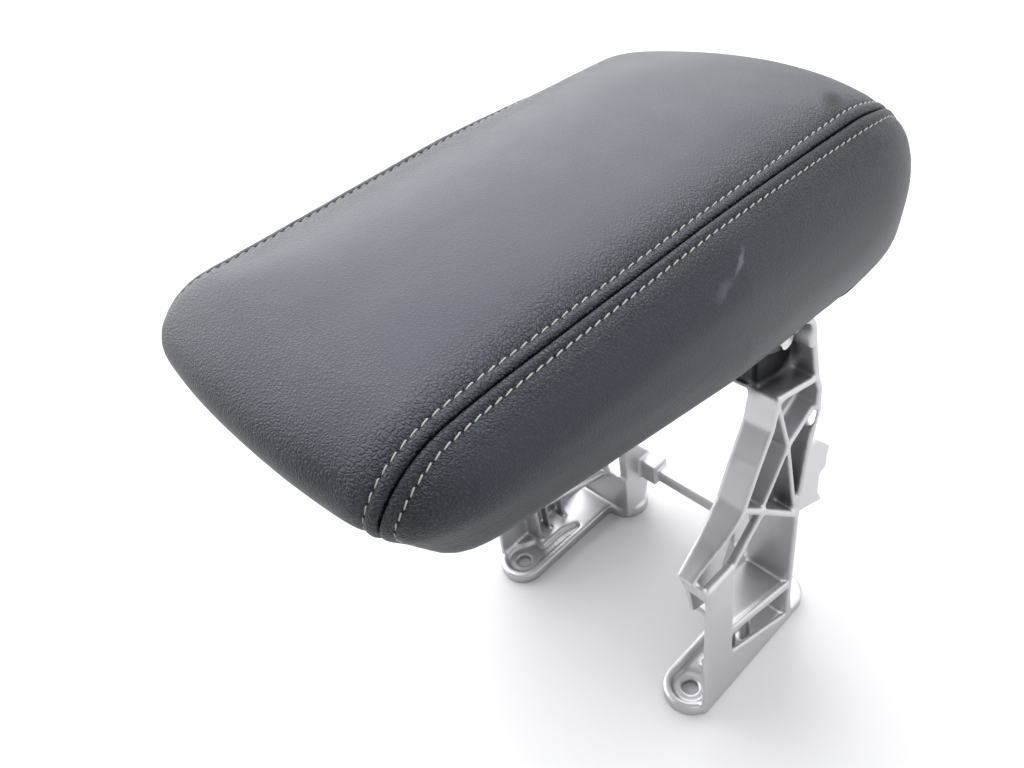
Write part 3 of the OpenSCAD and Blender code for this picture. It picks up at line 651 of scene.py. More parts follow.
@dataclass
class Swelling:
    """How far the stuffed lid bulges between its seams, found with a cloth simulation."""

    form: LidForm
    voxel_mm: float = 5.0
    start_in_mm: float = 2.0
    cap_mm: float = 6.0
    # The swelling is kept to this height over the skin, and the seams lie this far under it
    crest_mm: float = 1.5
    sink_mm: float = 0.5
    edge_out_mm: float = 0.4
    pressure: float = 4.0
    frames: int = 20
    rest: BVHTree | None = None
    points: np.ndarray | None = None
    tris: np.ndarray | None = None
    moved: np.ndarray | None = None
    full_mm: float = 1.0

    def run(self, points: np.ndarray, tris: np.ndarray) -> None:
        """Simulates the swelling of the lid's skin.

        Args:
            points: Skin points in millimetres.
            tris: Triangles of the skin.
        """
        obj = mesh_object("swell_trial", points * MM, tris)
        remesh = obj.modifiers.new("voxels", "REMESH")
        remesh.mode = "VOXEL"
        remesh.voxel_size = self.voxel_mm * MM
        applied(obj)
        mesh = obj.data
        count = len(mesh.vertices)
        co = np.empty(count * 3)
        mesh.vertices.foreach_get("co", co)
        no = np.empty(count * 3)
        mesh.vertices.foreach_get("normal", no)
        co, no = co.reshape(-1, 3), no.reshape(-1, 3)
        start = co - no * self.start_in_mm * MM
        mesh.vertices.foreach_set("co", start.ravel())
        mesh.update()
        local = self.form.to_local(start / MM)
        near_seam = 1 - smooth01(np.abs(self.form.from_seam(local[:, 0])), 2.0, 6.0)
        under = 1 - smooth01(local[:, 2], self.form.under_w + 3, self.form.under_w + 12)
        hold = np.maximum(near_seam, under)
        group = obj.vertex_groups.new(name="held")
        for index, weight in enumerate(hold):
            group.add([index], float(weight), "REPLACE")
        cloth = obj.modifiers.new("cloth", "CLOTH")
        s = cloth.settings
        s.quality = 6
        s.mass = 0.4
        s.tension_stiffness = s.compression_stiffness = 18
        s.shear_stiffness = 8
        s.bending_stiffness = 6
        s.use_pressure = True
        s.uniform_pressure_force = self.pressure
        s.vertex_group_mass = "held"
        s.effector_weights.gravity = 0
        cloth.point_cache.frame_start, cloth.point_cache.frame_end = 1, self.frames
        scene = bpy.context.scene
        for frame in range(1, self.frames + 1):
            scene.frame_set(frame)
        graph = bpy.context.evaluated_depsgraph_get()
        final = obj.evaluated_get(graph).to_mesh()
        end = np.empty(count * 3)
        final.vertices.foreach_get("co", end)
        scene.frame_set(1)
        self.points = start / MM
        shift = end.reshape(-1, 3) / MM - self.points
        length = np.linalg.norm(shift, axis=1)
        self.moved = shift * np.minimum(1.0, self.cap_mm / np.maximum(length, 1e-9))[:, None]
        self.full_mm = float(np.percentile(np.linalg.norm(self.moved, axis=1), 95))
        mesh.calc_loop_triangles()
        self.tris = np.array([t.vertices[:] for t in mesh.loop_triangles])
        self.rest = BVHTree.FromPolygons([Vector(p) for p in self.points], [tuple(map(int, t)) for t in self.tris])
        bpy.data.objects.remove(obj)
        LOG.info("swelling: %d points, moves of %.1f mm at the middle, %.1f mm at most", count,
                 float(np.median(length)), float(length.max()))

    def at(self, p: np.ndarray, normal: np.ndarray) -> np.ndarray:
        """Movement of each point of the skin.

        Args:
            p: Points on the skin in millimetres.
            normal: Outward directions there.

        Returns:
            The movement of each point in millimetres.
        """
        flat, n = p.reshape(-1, 3), normal.reshape(-1, 3)
        if self.rest is None:
            local = self.form.to_local(flat)
            away = smooth01(np.abs(self.form.from_seam(local[:, 0])), 3.0, 30.0)
            lifted = smooth01(local[:, 2], self.form.under_w + 2, self.form.under_w + 16)
            return ((-self.sink_mm + (self.sink_mm + 0.7) * away * lifted)[:, None] * n).reshape(p.shape)
        out = np.zeros_like(flat)
        for i, q in enumerate(flat):
            hit, _, index, _ = self.rest.find_nearest(q)
            a, b, c = self.tris[index]
            pa, pb, pc = self.points[a], self.points[b], self.points[c]
            h = np.array(hit)
            area = np.linalg.norm(np.cross(pb - pa, pc - pa)) + 1e-12
            wa = np.linalg.norm(np.cross(pb - h, pc - h)) / area
            wb = np.linalg.norm(np.cross(pc - h, pa - h)) / area
            out[i] = self.moved[a] * wa + self.moved[b] * wb + self.moved[c] * max(0.0, 1 - wa - wb)
        length = np.linalg.norm(out, axis=1, keepdims=True)
        out *= (self.crest_mm + self.sink_mm) / np.maximum(self.full_mm, length)
        # The pull of the seams ends above the lower rounds, where the cover is stretched over the edge strip
        lifted = smooth01(self.form.to_local(flat)[:, 2], self.form.under_w + 6, self.form.under_w + 22)
        sink = self.sink_mm * lifted - self.edge_out_mm * (1 - lifted)
        return (out - sink[:, None] * n).reshape(p.shape)


class Side(Enum):
    """Side of the lid, as the sign of X."""

    LEFT = -1
    RIGHT = 1


@dataclass
class SewnCover:
    """The sewn cover: centre panel and two side panels, joined in a sunk seam with lips beside it."""

    form: LidForm
    swelling: Swelling
    stitch_mm: float = 4.23
    per_stitch: int = 3
    row_mm: float = 5.0
    backing_mm: float = 2.1
    # Distances from the seam at which the cover gets a row of points, in millimetres
    steps: tuple[float, ...] = (0.03, 0.2, 0.4, 0.65, 0.95, 1.35, 1.85, 2.4, 3.0, 3.6, 4.1, 4.5, 4.8, 5.0, 5.2,
                                5.5, 5.9, 6.5, 7.3, 8.4, 10.0, 12.0, 14.5)
    outer_steps: tuple[float, ...] = (17.0,)
    # Height of the cover over the smooth skin at some distances from the seam, in millimetres
    profile_d: tuple[float, ...] = (0.0, 0.2, 0.4, 0.65, 0.95, 1.35, 1.85, 2.4, 3.0, 3.6, 4.1, 4.5, 4.8, 5.0, 5.2,
                                    5.5, 5.9, 6.5, 7.3, 8.4, 10.0, 12.0, 14.5, 60.0, 200.0)
    profile_h: tuple[float, ...] = (-1.6, -0.8, -0.15, 0.2, 0.42, 0.6, 0.72, 0.78, 0.74, 0.6, 0.4, 0.16, -0.02,
                                    -0.08, -0.04, 0.1, 0.25, 0.42, 0.6, 0.78, 0.95, 1.05, 1.05, 0.3, 0.0)
    # How far the seam leaves its plane, by the run from the nose's front: out over the nose, then in under it
    veer_run: tuple[float, ...] = (-85.0, -62.0, -42.0, -30.0, -20.0, -10.0, -4.0, 0.0, 4.0, 9.0, 16.0, 24.0, 34.0,
                                   46.0, 60.0)
    veer_mm: tuple[float, ...] = (0.0, -4.0, -7.5, -8.0, -6.0, -2.8, -0.6, 0.8, 1.9, 2.3, 2.0, 1.5, 0.8, 0.2, 0.0)
    # The same at the rear, by the run from the rearmost point: in before the seam drops over the end
    rear_run: tuple[float, ...] = (-70.0, -45.0, -20.0, 0.0, 15.0, 30.0, 38.0, 44.0, 50.0, 58.0)
    rear_mm: tuple[float, ...] = (0.0, -2.5, -5.0, -6.0, -6.0, -4.8, -3.0, -1.5, -0.4, 0.0)
    cap_rings: int = 22
    middle_rows: int = 26
    stitch_rows: dict = field(default_factory=dict)

    def x_at(self, d: float, out: float = 0.0) -> float:
        """X of the row at distance d outside a seam that is moved out across X, on the corner's round."""
        cx = self.form.width / 2 - self.form.corner_r
        start = math.asin((self.form.seam_x + out - cx) / self.form.corner_r)
        return cx + self.form.corner_r * math.sin(start + d / self.form.corner_r)

    def loop(self, x: float, shares: np.ndarray | None) -> tuple[np.ndarray, np.ndarray]:
        """Closed line where the skin meets the plane of constant x.

        Args:
            x: The plane, in millimetres.
            shares: How many points each quarter of the loop gets, or None to find it from the stitch pitch.

        Returns:
            The points of the loop, and the count for each quarter.
        """
        p, e = self.skin_points, self.skin_edges
        a, b = p[e[:, 0]], p[e[:, 1]]
        cross = (a[:, 0] - x) * (b[:, 0] - x) < 0
        a, b = a[cross], b[cross]
        t = ((x - a[:, 0]) / (b[:, 0] - a[:, 0]))[:, None]
        local = self.form.to_local(a + (b - a) * t)
        centre = (local.min(0) + local.max(0)) / 2
        rel = local[:, 1:] - centre[1:]
        # 0 at the bottom, a quarter turn at the front end, a half turn at the top
        angle = np.mod(np.arctan2(-rel[:, 0], -rel[:, 1]), 2 * math.pi)
        order = np.argsort(angle)
        ring, angle = local[order], angle[order]
        ring = np.vstack([ring, ring[:1]])
        angle = np.append(angle, angle[0] + 2 * math.pi)
        run = np.append(0, np.cumsum(np.linalg.norm(np.diff(ring[:, 1:], axis=0), axis=1)))
        quarter = np.interp(np.arange(5) * math.pi / 2, angle, run)
        lo = np.interp(2 * math.pi, angle, run) - run[-1]
        quarter[0] = lo
        quarter[4] = lo + run[-1]
        if shares is None:
            whole = round(run[-1] / self.stitch_mm) * self.per_stitch
            cut = np.round((quarter - quarter[0]) / run[-1] * whole).astype(int)
            shares = np.diff(cut)
        s = np.concatenate([np.linspace(quarter[k], quarter[k + 1], shares[k], endpoint=False) for k in range(4)])
        s = np.mod(s, run[-1])
        out = np.stack([np.full_like(s, x), np.interp(s, run, ring[:, 1]), np.interp(s, run, ring[:, 2])], -1)
        return self.form.from_local(out), shares

    def veer(self, line: np.ndarray) -> np.ndarray:
        """How far the seam lies outside its plane at each column.

        Args:
            line: The loop in the seam's plane.

        Returns:
            Millimetres away from the lid's middle, one value for each column.
        """
        step = np.linalg.norm(np.roll(line, -1, axis=0) - line, axis=1)
        run = np.append(0, np.cumsum(step))
        # Columns go from the underside over the nose to the top, and down the rear
        front, rear = (run[int(i)] for i in (line[:, 1].argmin(), line[:, 1].argmax()))
        half = run[-1] / 2
        out = np.interp(np.mod(run[:-1] - front + half, run[-1]) - half, self.veer_run, self.veer_mm)
        out += np.interp(np.mod(rear - run[:-1] + half, run[-1]) - half, self.rear_run, self.rear_mm)
        for _ in range(12):
            out = 0.5 * out + 0.25 * (np.roll(out, 1) + np.roll(out, -1))
        return out

    def row(self, x: float, share: float, out: float) -> np.ndarray:
        """One row of points that follows the seam's veer.

        Args:
            x: Plane of the row where the seam runs straight.
            share: How much of the veer the row takes.
            out: How much of the left seam's greater distance the row takes.

        Returns:
            One point for each column.
        """
        aside = out * self.form.left_seam_out if x < 0 else 0.0
        at = np.full(self.columns, x) + math.copysign(1.0, x) * (share * self.veer_by_column + aside)
        k = np.clip(np.floor((at - self.grid_x[0])).astype(int), 0, len(self.grid_x) - 2)
        t = (at - self.grid_x[k])[:, None]
        column = np.arange(self.columns)
        return self.grid[k, column] * (1 - t) + self.grid[k + 1, column] * t

    def lay_out(self) -> None:
        """Lays the rows of points for the three panels on the smooth skin."""
        points, tris = self.form.skin()
        pairs = np.sort(np.concatenate([tris[:, [0, 1]], tris[:, [1, 2]], tris[:, [2, 0]]]), axis=1)
        self.skin_points, self.skin_edges = points, np.unique(pairs, axis=0)
        self.skin_tree = BVHTree.FromPolygons([Vector(q) for q in points], [tuple(map(int, f)) for f in tris])
        self.swelling.run(points, tris)
        _, self.shares = self.loop(self.form.seam_x, None)
        self.columns = int(self.shares.sum())
        # Loops 1 mm apart, between which each row finds its own way
        self.grid_x = np.arange(-82.5, 83.0)
        self.grid = np.array([self.loop(x, self.shares)[0] for x in self.grid_x])
        self.veer_by_column = self.veer(self.loop(self.form.seam_x, self.shares)[0])
        inner = [(self.x_at(-d), d) for d in self.steps]
        edge_x = inner[-1][0]
        middle = np.linspace(edge_x, -edge_x, self.middle_rows + 2)[1:-1]
        rows = [(x, d) for x, d in inner] + [(x, self.form.seam_x - abs(x)) for x in middle]
        rows += [(-x, d) for x, d in reversed(inner)]
        shares = [min(1.0, (abs(x) / 59.0) ** 2) for x, _ in rows]
        self.centre_rows = np.array([self.row(x, share, share) for (x, _), share in zip(rows, shares)])
        self.centre_d = np.array([d for _, d in rows])
        self.side_rows, self.side_pole = {}, {}
        for side in Side:
            self.side_rows[side], self.side_pole[side] = self.side_sheet(side)

    def side_sheet(self, side: Side) -> tuple[np.ndarray, np.ndarray]:
        """Lays one side panel's rows on the skin: along the seam first, then rings towards the middle.

        Args:
            side: Which side of the lid.

        Returns:
            Points by row and column, and the point at the middle.
        """
        k = side.value
        out = self.form.left_seam_out if side is Side.LEFT else 0.0
        # On the narrower left panel the rows past the stitching lie closer together
        true_d = [d if d < 6 or not out else 6 + (d - 6) * 0.33 for d in self.steps + self.outer_steps]
        outer = [(self.x_at(at, out), d) for at, d in zip(true_d, self.steps + self.outer_steps)]
        fades = [float(smooth01(d, 6.0, 17.0)) for _, d in outer]
        sheet = [self.row(k * x, 1 - 0.5 * fade, 0.0) for (x, _), fade in zip(outer, fades)]
        last = sheet[-1]
        centre = last.mean(0)
        shares = np.linspace(1, 0, self.cap_rings + 1)[1:-1] ** 0.85
        for share in shares:
            aim = centre + (last - centre) * share
            sheet.append(np.array([self.from_aside(q, k) for q in aim]))
        self.side_d = np.array([d for _, d in outer] + [outer[-1][1] + (1 - share) * 24 for share in shares])
        return np.array(sheet), self.from_aside(centre, k)

    def from_aside(self, q: np.ndarray, k: int) -> np.ndarray:
        """Point of the skin beside a point, looking in along X from the side given by k."""
        return np.array(self.skin_tree.ray_cast(Vector((200.0 * k, q[1], q[2])), Vector((-k, 0.0, 0.0)))[0])

    @staticmethod
    def normals(rows: np.ndarray, flip: float) -> np.ndarray:
        """Directions across a sheet of points whose rows are closed loops.

        Args:
            rows: Points by row and column.
            flip: 1 or -1, to turn them outwards.

        Returns:
            Unit directions by row and column.
        """
        along = np.roll(rows, -1, axis=1) - np.roll(rows, 1, axis=1)
        across = np.gradient(rows, axis=0)
        n = np.cross(along, across) * flip
        return n / np.maximum(np.linalg.norm(n, axis=-1, keepdims=True), 1e-12)

    def relaxed(self, rows: np.ndarray, d: np.ndarray, passes: int) -> np.ndarray:
        """Evens the sheet out across its rows, away from the seams.

        Args:
            rows: Points by row and column.
            d: Distance of each row from the seam.
            passes: Number of smoothing passes.

        Returns:
            The evened points.
        """
        weight = smooth01(d, 5.0, 18.0)[1:-1, None, None] * 0.5
        out = rows.copy()
        for _ in range(passes):
            out[1:-1] += (0.5 * (out[:-2] + out[2:]) - out[1:-1]) * weight
        return out

    def dressed(self, rows: np.ndarray, d: np.ndarray, flip: float) -> tuple[np.ndarray, np.ndarray, np.ndarray]:
        """Adds the swelling, the seam's lips, the pull of the stitches and small puckers.

        Args:
            rows: Points by row and column on the smooth skin.
            d: Distance of each row from the seam.
            flip: 1 or -1, to turn the normals outwards.

        Returns:
            The outer points, the inner points, and the run along the seam of each column.
        """
        n = self.normals(rows, flip)
        base = rows + self.evened(self.swelling.at(rows, n), d)
        n = self.normals(base, flip)
        height = np.interp(d, self.profile_d, self.profile_h)[:, None] * np.ones(rows.shape[1])[None]
        column = np.arange(rows.shape[1])
        hole = (column % self.per_stitch == 0).astype(float)
        pull = np.exp(-((d - self.row_mm) / 0.55) ** 2)[:, None]
        height = height - 0.34 * pull * (hole - 0.2)[None]
        step = np.linalg.norm(np.diff(np.vstack([rows[0], rows[0][:1]]), axis=0), axis=1)
        run = np.append(0, np.cumsum(step))[:-1]
        pucker = np.zeros_like(height)
        for r, dist in enumerate(d):
            fade = math.exp(-max(0.0, dist - 6.0) / 9.0) * float(smooth01(dist, 1.0, 3.0))
            if fade < 0.02:
                continue
            side = 40.0 if flip > 0 else 0.0
            side += 90.0 if rows[r, 0, 0] < 0 else 0.0
            pucker[r] = [fade * noise.noise(Vector((u / 5.5, dist / 9.0 + side, 0.0))) for u in run]
        height = height + 0.22 * pucker
        outer = base + n * height[..., None]
        inner = base - n * self.backing_mm
        return outer, inner, run

    @staticmethod
    def evened(move: np.ndarray, d: np.ndarray) -> np.ndarray:
        """Smooths a movement over a sheet, so that the simulation's voxels don't show."""
        out = move.copy()
        for _ in range(30):
            out = 0.5 * out + 0.25 * (np.roll(out, 1, axis=1) + np.roll(out, -1, axis=1))
        for _ in range(6):
            out[1:-1] = 0.5 * out[1:-1] + 0.25 * (out[:-2] + out[2:])
        return out

    def shell(self, name: str, outer: np.ndarray, inner: np.ndarray, d: np.ndarray, run: np.ndarray,
              pole: tuple[np.ndarray, np.ndarray] | None) -> bpy.types.Object:
        """Closes an outer and an inner sheet into one solid panel.

        Args:
            name: Name of the piece.
            outer: Outer points by row and column.
            inner: Inner points by row and column.
            d: Distance of each row from the seam.
            run: Run along the seam of each column.
            pole: Outer and inner point that close the last row, or None.

        Returns:
            The panel as a closed mesh.
        """
        r, c = outer.shape[:2]
        points = [outer.reshape(-1, 3), inner.reshape(-1, 3)]
        size = r * c
        faces = []
        nxt = np.roll(np.arange(c), -1)
        for i in range(r - 1):
            for j in range(c):
                a, b = i * c + j, i * c + nxt[j]
                e, f = (i + 1) * c + j, (i + 1) * c + nxt[j]
                faces.append((a, b, f, e))
                faces.append((size + a, size + e, size + f, size + b))
        for j in range(c):
            faces.append((j, size + j, size + nxt[j], nxt[j]))
        last = (r - 1) * c
        if pole is None:
            for j in range(c):
                faces.append((last + j, last + nxt[j], size + last + nxt[j], size + last + j))
        else:
            points.append(np.array(pole))
            for j in range(c):
                faces.append((last + j, last + nxt[j], 2 * size))
                faces.append((size + last + j, 2 * size + 1, size + last + nxt[j]))
        obj = mesh_object(name, np.concatenate(points) * MM, faces)
        extra = [] if pole is None else [d[-1], d[-1]]
        put_floats(obj, "seam_mm", np.concatenate([np.repeat(d, c), np.repeat(d, c), extra]))
        extra = [] if pole is None else [0.0, 0.0]
        put_floats(obj, "run_mm", np.concatenate([np.tile(run, r), np.tile(run, r), extra]))
        return obj

    def cutter(self) -> bpy.types.Object:
        """Makes the joined form of the underside opening and of the trough for the hinge shaft."""
        f = self.form
        v0, v1 = f.opening_v
        half, r = f.opening_w / 2, f.opening_r
        outline = []
        for cx, cv, a0 in ((half - r, v1 - r, 0), (-half + r, v1 - r, 90), (-half + r, v0 + r, 180),
                           (half - r, v0 + r, 270)):
            outline += [(cx + r * math.cos(math.radians(a0 + a)), cv + r * math.sin(math.radians(a0 + a)))
                        for a in np.linspace(0, 90, 13)]
        tops = (f.under_w - 60, f.under_w + 2.5 + f.shell_h)
        block = self.prism("opening_cutter", [(x, v, w) for w in tops for x, v in outline], len(outline))
        # The trough is one outline: round in front of the hinge axis, straight behind it
        radius, low, high, rear = f.trough_r, -f.trough_down, f.trough_up, f.trough_rear
        turns = np.linspace(math.asin(high / radius), 2 * math.pi + math.asin(low / radius), 40)
        section = [(radius * math.cos(a), radius * math.sin(a)) for a in turns] + [(rear, low), (rear, high)]
        ends = (-f.trough_side, f.trough_side)
        trough = self.prism("trough_cutter", [(x, v, w) for x in ends for v, w in section], len(section))
        joined = self.combined(block, trough, "UNION")
        bpy.data.objects.remove(trough)
        return joined

    def prism(self, name: str, points: list, sides: int) -> bpy.types.Object:
        """Makes a straight prism from its two end outlines.

        Args:
            name: Name of the form.
            points: Points of the first and then of the second outline, as x, v, w.
            sides: Number of points in each outline.

        Returns:
            The closed form, with its faces turned outwards.
        """
        faces = [tuple(range(sides)), tuple(range(sides, 2 * sides))]
        faces += [(i, (i + 1) % sides, sides + (i + 1) % sides, sides + i) for i in range(sides)]
        return mesh_object(name, self.form.from_local(np.array(points)) * MM, faces, smooth=False)

    @staticmethod
    def combined(obj: bpy.types.Object, other: bpy.types.Object, operation: str) -> bpy.types.Object:
        """Joins another closed form to a closed piece, or cuts it away.

        Args:
            obj: The piece.
            other: The other form.
            operation: "UNION" or "DIFFERENCE".

        Returns:
            The changed piece.
        """
        both = obj.modifiers.new("combine", "BOOLEAN")
        both.operation, both.solver, both.object = operation, "MANIFOLD", other
        applied(obj).data.materials.clear()
        obj.data.polygons.foreach_set("material_index", [0] * len(obj.data.polygons))
        return obj

    def build(self, skin: bpy.types.Material, foam: bpy.types.Material) -> list[bpy.types.Object]:
        """Builds the three panels and the foam under them.

        Args:
            skin: Material of the cover.
            foam: Material of the foam.

        Returns:
            The pieces, each riding on the lid.
        """
        self.lay_out()
        centre = self.relaxed(self.centre_rows, self.centre_d, 10)
        # Which way the normals point is tested on the top of the lid
        flip = 1.0 if self.normals(centre, 1.0)[len(centre) // 2, int(self.shares[:2].sum()), 2] > 0 else -1.0
        outer, inner, run = self.dressed(centre, self.centre_d, flip)
        self.keep_stitch_rows(outer, self.centre_d, flip, "inner")
        pieces = [self.shell("centre_panel", outer, inner, self.centre_d, run, None)]
        foam_centre = inner - self.normals(inner, flip) * 0.3
        foam_sides = {}
        for which in Side:
            side = self.relaxed(self.side_rows[which], self.side_d, 6)
            outwards = self.normals(side, 1.0)[len(side) // 2, :, 0].mean() * which.value
            side_flip = 1.0 if outwards > 0 else -1.0
            s_outer, s_inner, s_run = self.dressed(side, self.side_d, side_flip)
            self.keep_stitch_rows(s_outer, self.side_d, side_flip, "outer")
            top = (self.side_pole[which] - side[-1].mean(0)) + s_outer[-1].mean(0)
            low = top - np.array([self.backing_mm * which.value, 0, 0])
            pieces.append(self.shell(f"{which.name.lower()}_side_panel", s_outer, s_inner, self.side_d, s_run,
                                     (top, low)))
            foam_sides[which] = (s_inner, low)
        cutter = self.cutter()
        pieces = [self.combined(p, cutter, "DIFFERENCE") for p in pieces]
        foam_piece = self.foam_core(foam_centre, foam_sides, cutter)
        bpy.data.objects.remove(cutter)
        nodes = {"centre_panel": "cover_centre", "right_side_panel": "cover_right", "left_side_panel": "cover_left"}
        for p in pieces:
            p.data.materials.append(skin)
            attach(p, "lid")
            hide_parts(nodes[p.name])
        foam_piece.data.materials.append(foam)
        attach(foam_piece, "lid")
        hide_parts("foam_pad")
        return pieces + [foam_piece]

    def foam_core(self, centre: np.ndarray, sides: dict, cutter: bpy.types.Object) -> bpy.types.Object:
        """Makes the foam block that fills the cover, in coarser steps.

        Args:
            centre: Inner points under the centre panel.
            sides: For each side, the inner points under its panel and the point that closes them.
            cutter: Form to cut away.

        Returns:
            The foam as a closed mesh.
        """
        every = 6
        centre = centre[::3, ::every]
        gap = np.array([0.3, 0, 0])
        right = sides[Side.RIGHT][0][3::3, ::every] - gap
        left = sides[Side.LEFT][0][3::3, ::every] + gap
        rows = np.concatenate([right[::-1], centre, left])
        r, c = rows.shape[:2]
        nxt = np.roll(np.arange(c), -1)
        faces = [(i * c + j, i * c + nxt[j], (i + 1) * c + nxt[j], (i + 1) * c + j) for i in range(r - 1)
                 for j in range(c)]
        top = [(j, r * c, nxt[j]) for j in range(c)]
        end = [((r - 1) * c + j, (r - 1) * c + nxt[j], r * c + 1) for j in range(c)]
        points = np.concatenate([rows.reshape(-1, 3), [sides[Side.RIGHT][1] - gap, sides[Side.LEFT][1] + gap]])
        obj = mesh_object("foam_core", points * MM, faces + top + end)
        return self.combined(obj, cutter, "DIFFERENCE")

    def keep_stitch_rows(self, outer: np.ndarray, d: np.ndarray, flip: float, which: str) -> None:
        """Keeps the lines that the top stitching follows.

        Args:
            outer: Outer points by row and column.
            d: Distance of each row from the seam.
            flip: Sign that turns the normals outwards.
            which: "inner" for the centre panel's rows, "outer" for the side panels' rows.
        """
        n = self.normals(outer, flip)
        at = np.flatnonzero(np.isclose(d, self.row_mm))
        for row in at:
            smooth_n = n[row].copy()
            for _ in range(4):
                smooth_n = 0.5 * smooth_n + 0.25 * (np.roll(smooth_n, 1, 0) + np.roll(smooth_n, -1, 0))
            smooth_n /= np.linalg.norm(smooth_n, axis=1, keepdims=True)
            line = outer[row].copy()
            for _ in range(3):
                line = 0.5 * line + 0.25 * (np.roll(line, 1, 0) + np.roll(line, -1, 0))
            side = Side.RIGHT if outer[row, 0, 0] > 0 else Side.LEFT
            self.stitch_rows[(side, which)] = (line, smooth_n)


@dataclass
class TopStitching:
    """Decorative lockstitch in thick polyester thread, one row at each side of each seam."""

    cover: SewnCover
    thread_mm: float = 0.62
    stitch_share: float = 0.88
    slant_mm: float = 0.3
    sides: int = 8
    rings: int = 9

    def stitch(self, a: np.ndarray, b: np.ndarray, n: np.ndarray, lean: float) -> tuple[np.ndarray, list]:
        """One stitch as a bent, rounded piece of thread that dives into the cover at both ends.

        Args:
            a: First hole, in millimetres.
            b: Second hole.
            n: Outward direction.
            lean: Sideways lean of the stitch in millimetres.

        Returns:
            Points and faces.
        """
        along = (b - a) / np.linalg.norm(b - a)
        across = np.cross(n, along)
        across /= np.linalg.norm(across)
        up = np.cross(along, across)
        a, b = a - across * lean, b + across * lean
        points, faces = [], []
        for i in range(self.rings):
            t = i / (self.rings - 1)
            # The thread is pulled thin into its first hole and stands fullest near the second
            swell = math.sqrt(max(0.0, 1 - (2 * t - 1) ** 6)) * (0.72 + 0.5 * t - 0.2 * t * t)
            radius = self.thread_mm / 2 * (0.2 + 0.8 * swell)
            lift = 0.16 - 0.5 * abs(2 * t - 1) ** 4 + 0.12 * t
            centre = a + (b - a) * t + up * lift
            for j in range(self.sides):
                turn = 2 * math.pi * j / self.sides
                points.append(centre + radius * (math.cos(turn) * across * 1.08 + math.sin(turn) * up * 0.86))
        for i in range(self.rings - 1):
            for j in range(self.sides):
                k = (j + 1) % self.sides
                faces.append((i * self.sides + j, i * self.sides + k, (i + 1) * self.sides + k,
                              (i + 1) * self.sides + j))
        faces.append(tuple(range(self.sides))[::-1])
        end = (self.rings - 1) * self.sides
        faces.append(tuple(range(end, end + self.sides)))
        return np.array(points), faces

    def build(self, thread: bpy.types.Material) -> list[bpy.types.Object]:
        """Builds the four rows, each as one piece.

        Args:
            thread: Material of the thread.

        Returns:
            The pieces, each riding on the lid.
        """
        made = []
        form, step = self.cover.form, self.cover.per_stitch
        for (side, which), (line, n) in sorted(self.cover.stitch_rows.items(), key=lambda kv: (kv[0][0].value, kv[0][1])):
            count = len(line)
            closed, closed_n = np.vstack([line, line[:2]]), np.vstack([n, n[:2]])
            place = np.arange(len(closed))
            points, faces, base = [], [], 0
            gap = (1 - self.stitch_share) / 2 * step
            for k in range(count // step):
                ends = (k * step + gap, (k + 1) * step - gap)
                a, b = (np.array([np.interp(e, place, closed[:, i]) for i in range(3)]) for e in ends)
                normal = closed_n[int(round((k + 0.5) * step))]
                local = form.to_local((a + b) / 2)
                under = local[2] < form.under_w + 2.5 and form.opening_v[0] - 12 < local[1] < form.opening_v[1] + 12
                if under or form.in_trough(local, 1.5):
                    continue
                lean = self.slant_mm * (1 + 0.35 * noise.noise(Vector((k * 0.71, side.value * 3.1, len(which)))))
                p, f = self.stitch(a, b, normal, lean)
                points.append(p)
                faces += [tuple(i + base for i in face) for face in f]
                base += len(p)
            obj = mesh_object(f"{side.name.lower()}_{which}_stitching", np.concatenate(points) * MM, faces)
            obj.data.materials.append(thread)
            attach(obj, "lid")
            made.append(obj)
        return made


# ----- rigid parts


@dataclass
class RigidParts:
    """A group of CAD nodes that keep their shape and share a finish."""

    title: str
    finish: Metal | Dull | CastAluminium
    nodes: tuple[str, ...]
    # Step of the grid that rounds a casting's edges and corners, or 0 to leave them sharp
    round_step_mm: float = 0.0

    def dress(self, frame: dict) -> None:
        """Gives the nodes their material.
        """
        material = self.finish.material()
        for name in self.nodes:
            node = frame["nodes"][name]
            node.data.materials.clear()
            node.data.materials.append(material)
            if self.round_step_mm:
                self.round_off(node)

    def round_off(self, node: bpy.types.Object) -> None:
        """Rounds edges and inner corners as a casting has them, with modifiers on top of the CAD mesh.

        Args:
            node: The CAD node's object.
        """
        weld = node.modifiers.new("weld", "WELD")
        weld.merge_threshold = 0.01 * MM
        grid = node.modifiers.new("grid", "REMESH")
        grid.mode = "VOXEL"
        grid.voxel_size = self.round_step_mm * MM
        grid.use_smooth_shade = True
        even = node.modifiers.new("even", "SMOOTH")
        even.factor, even.iterations = 0.5, 4


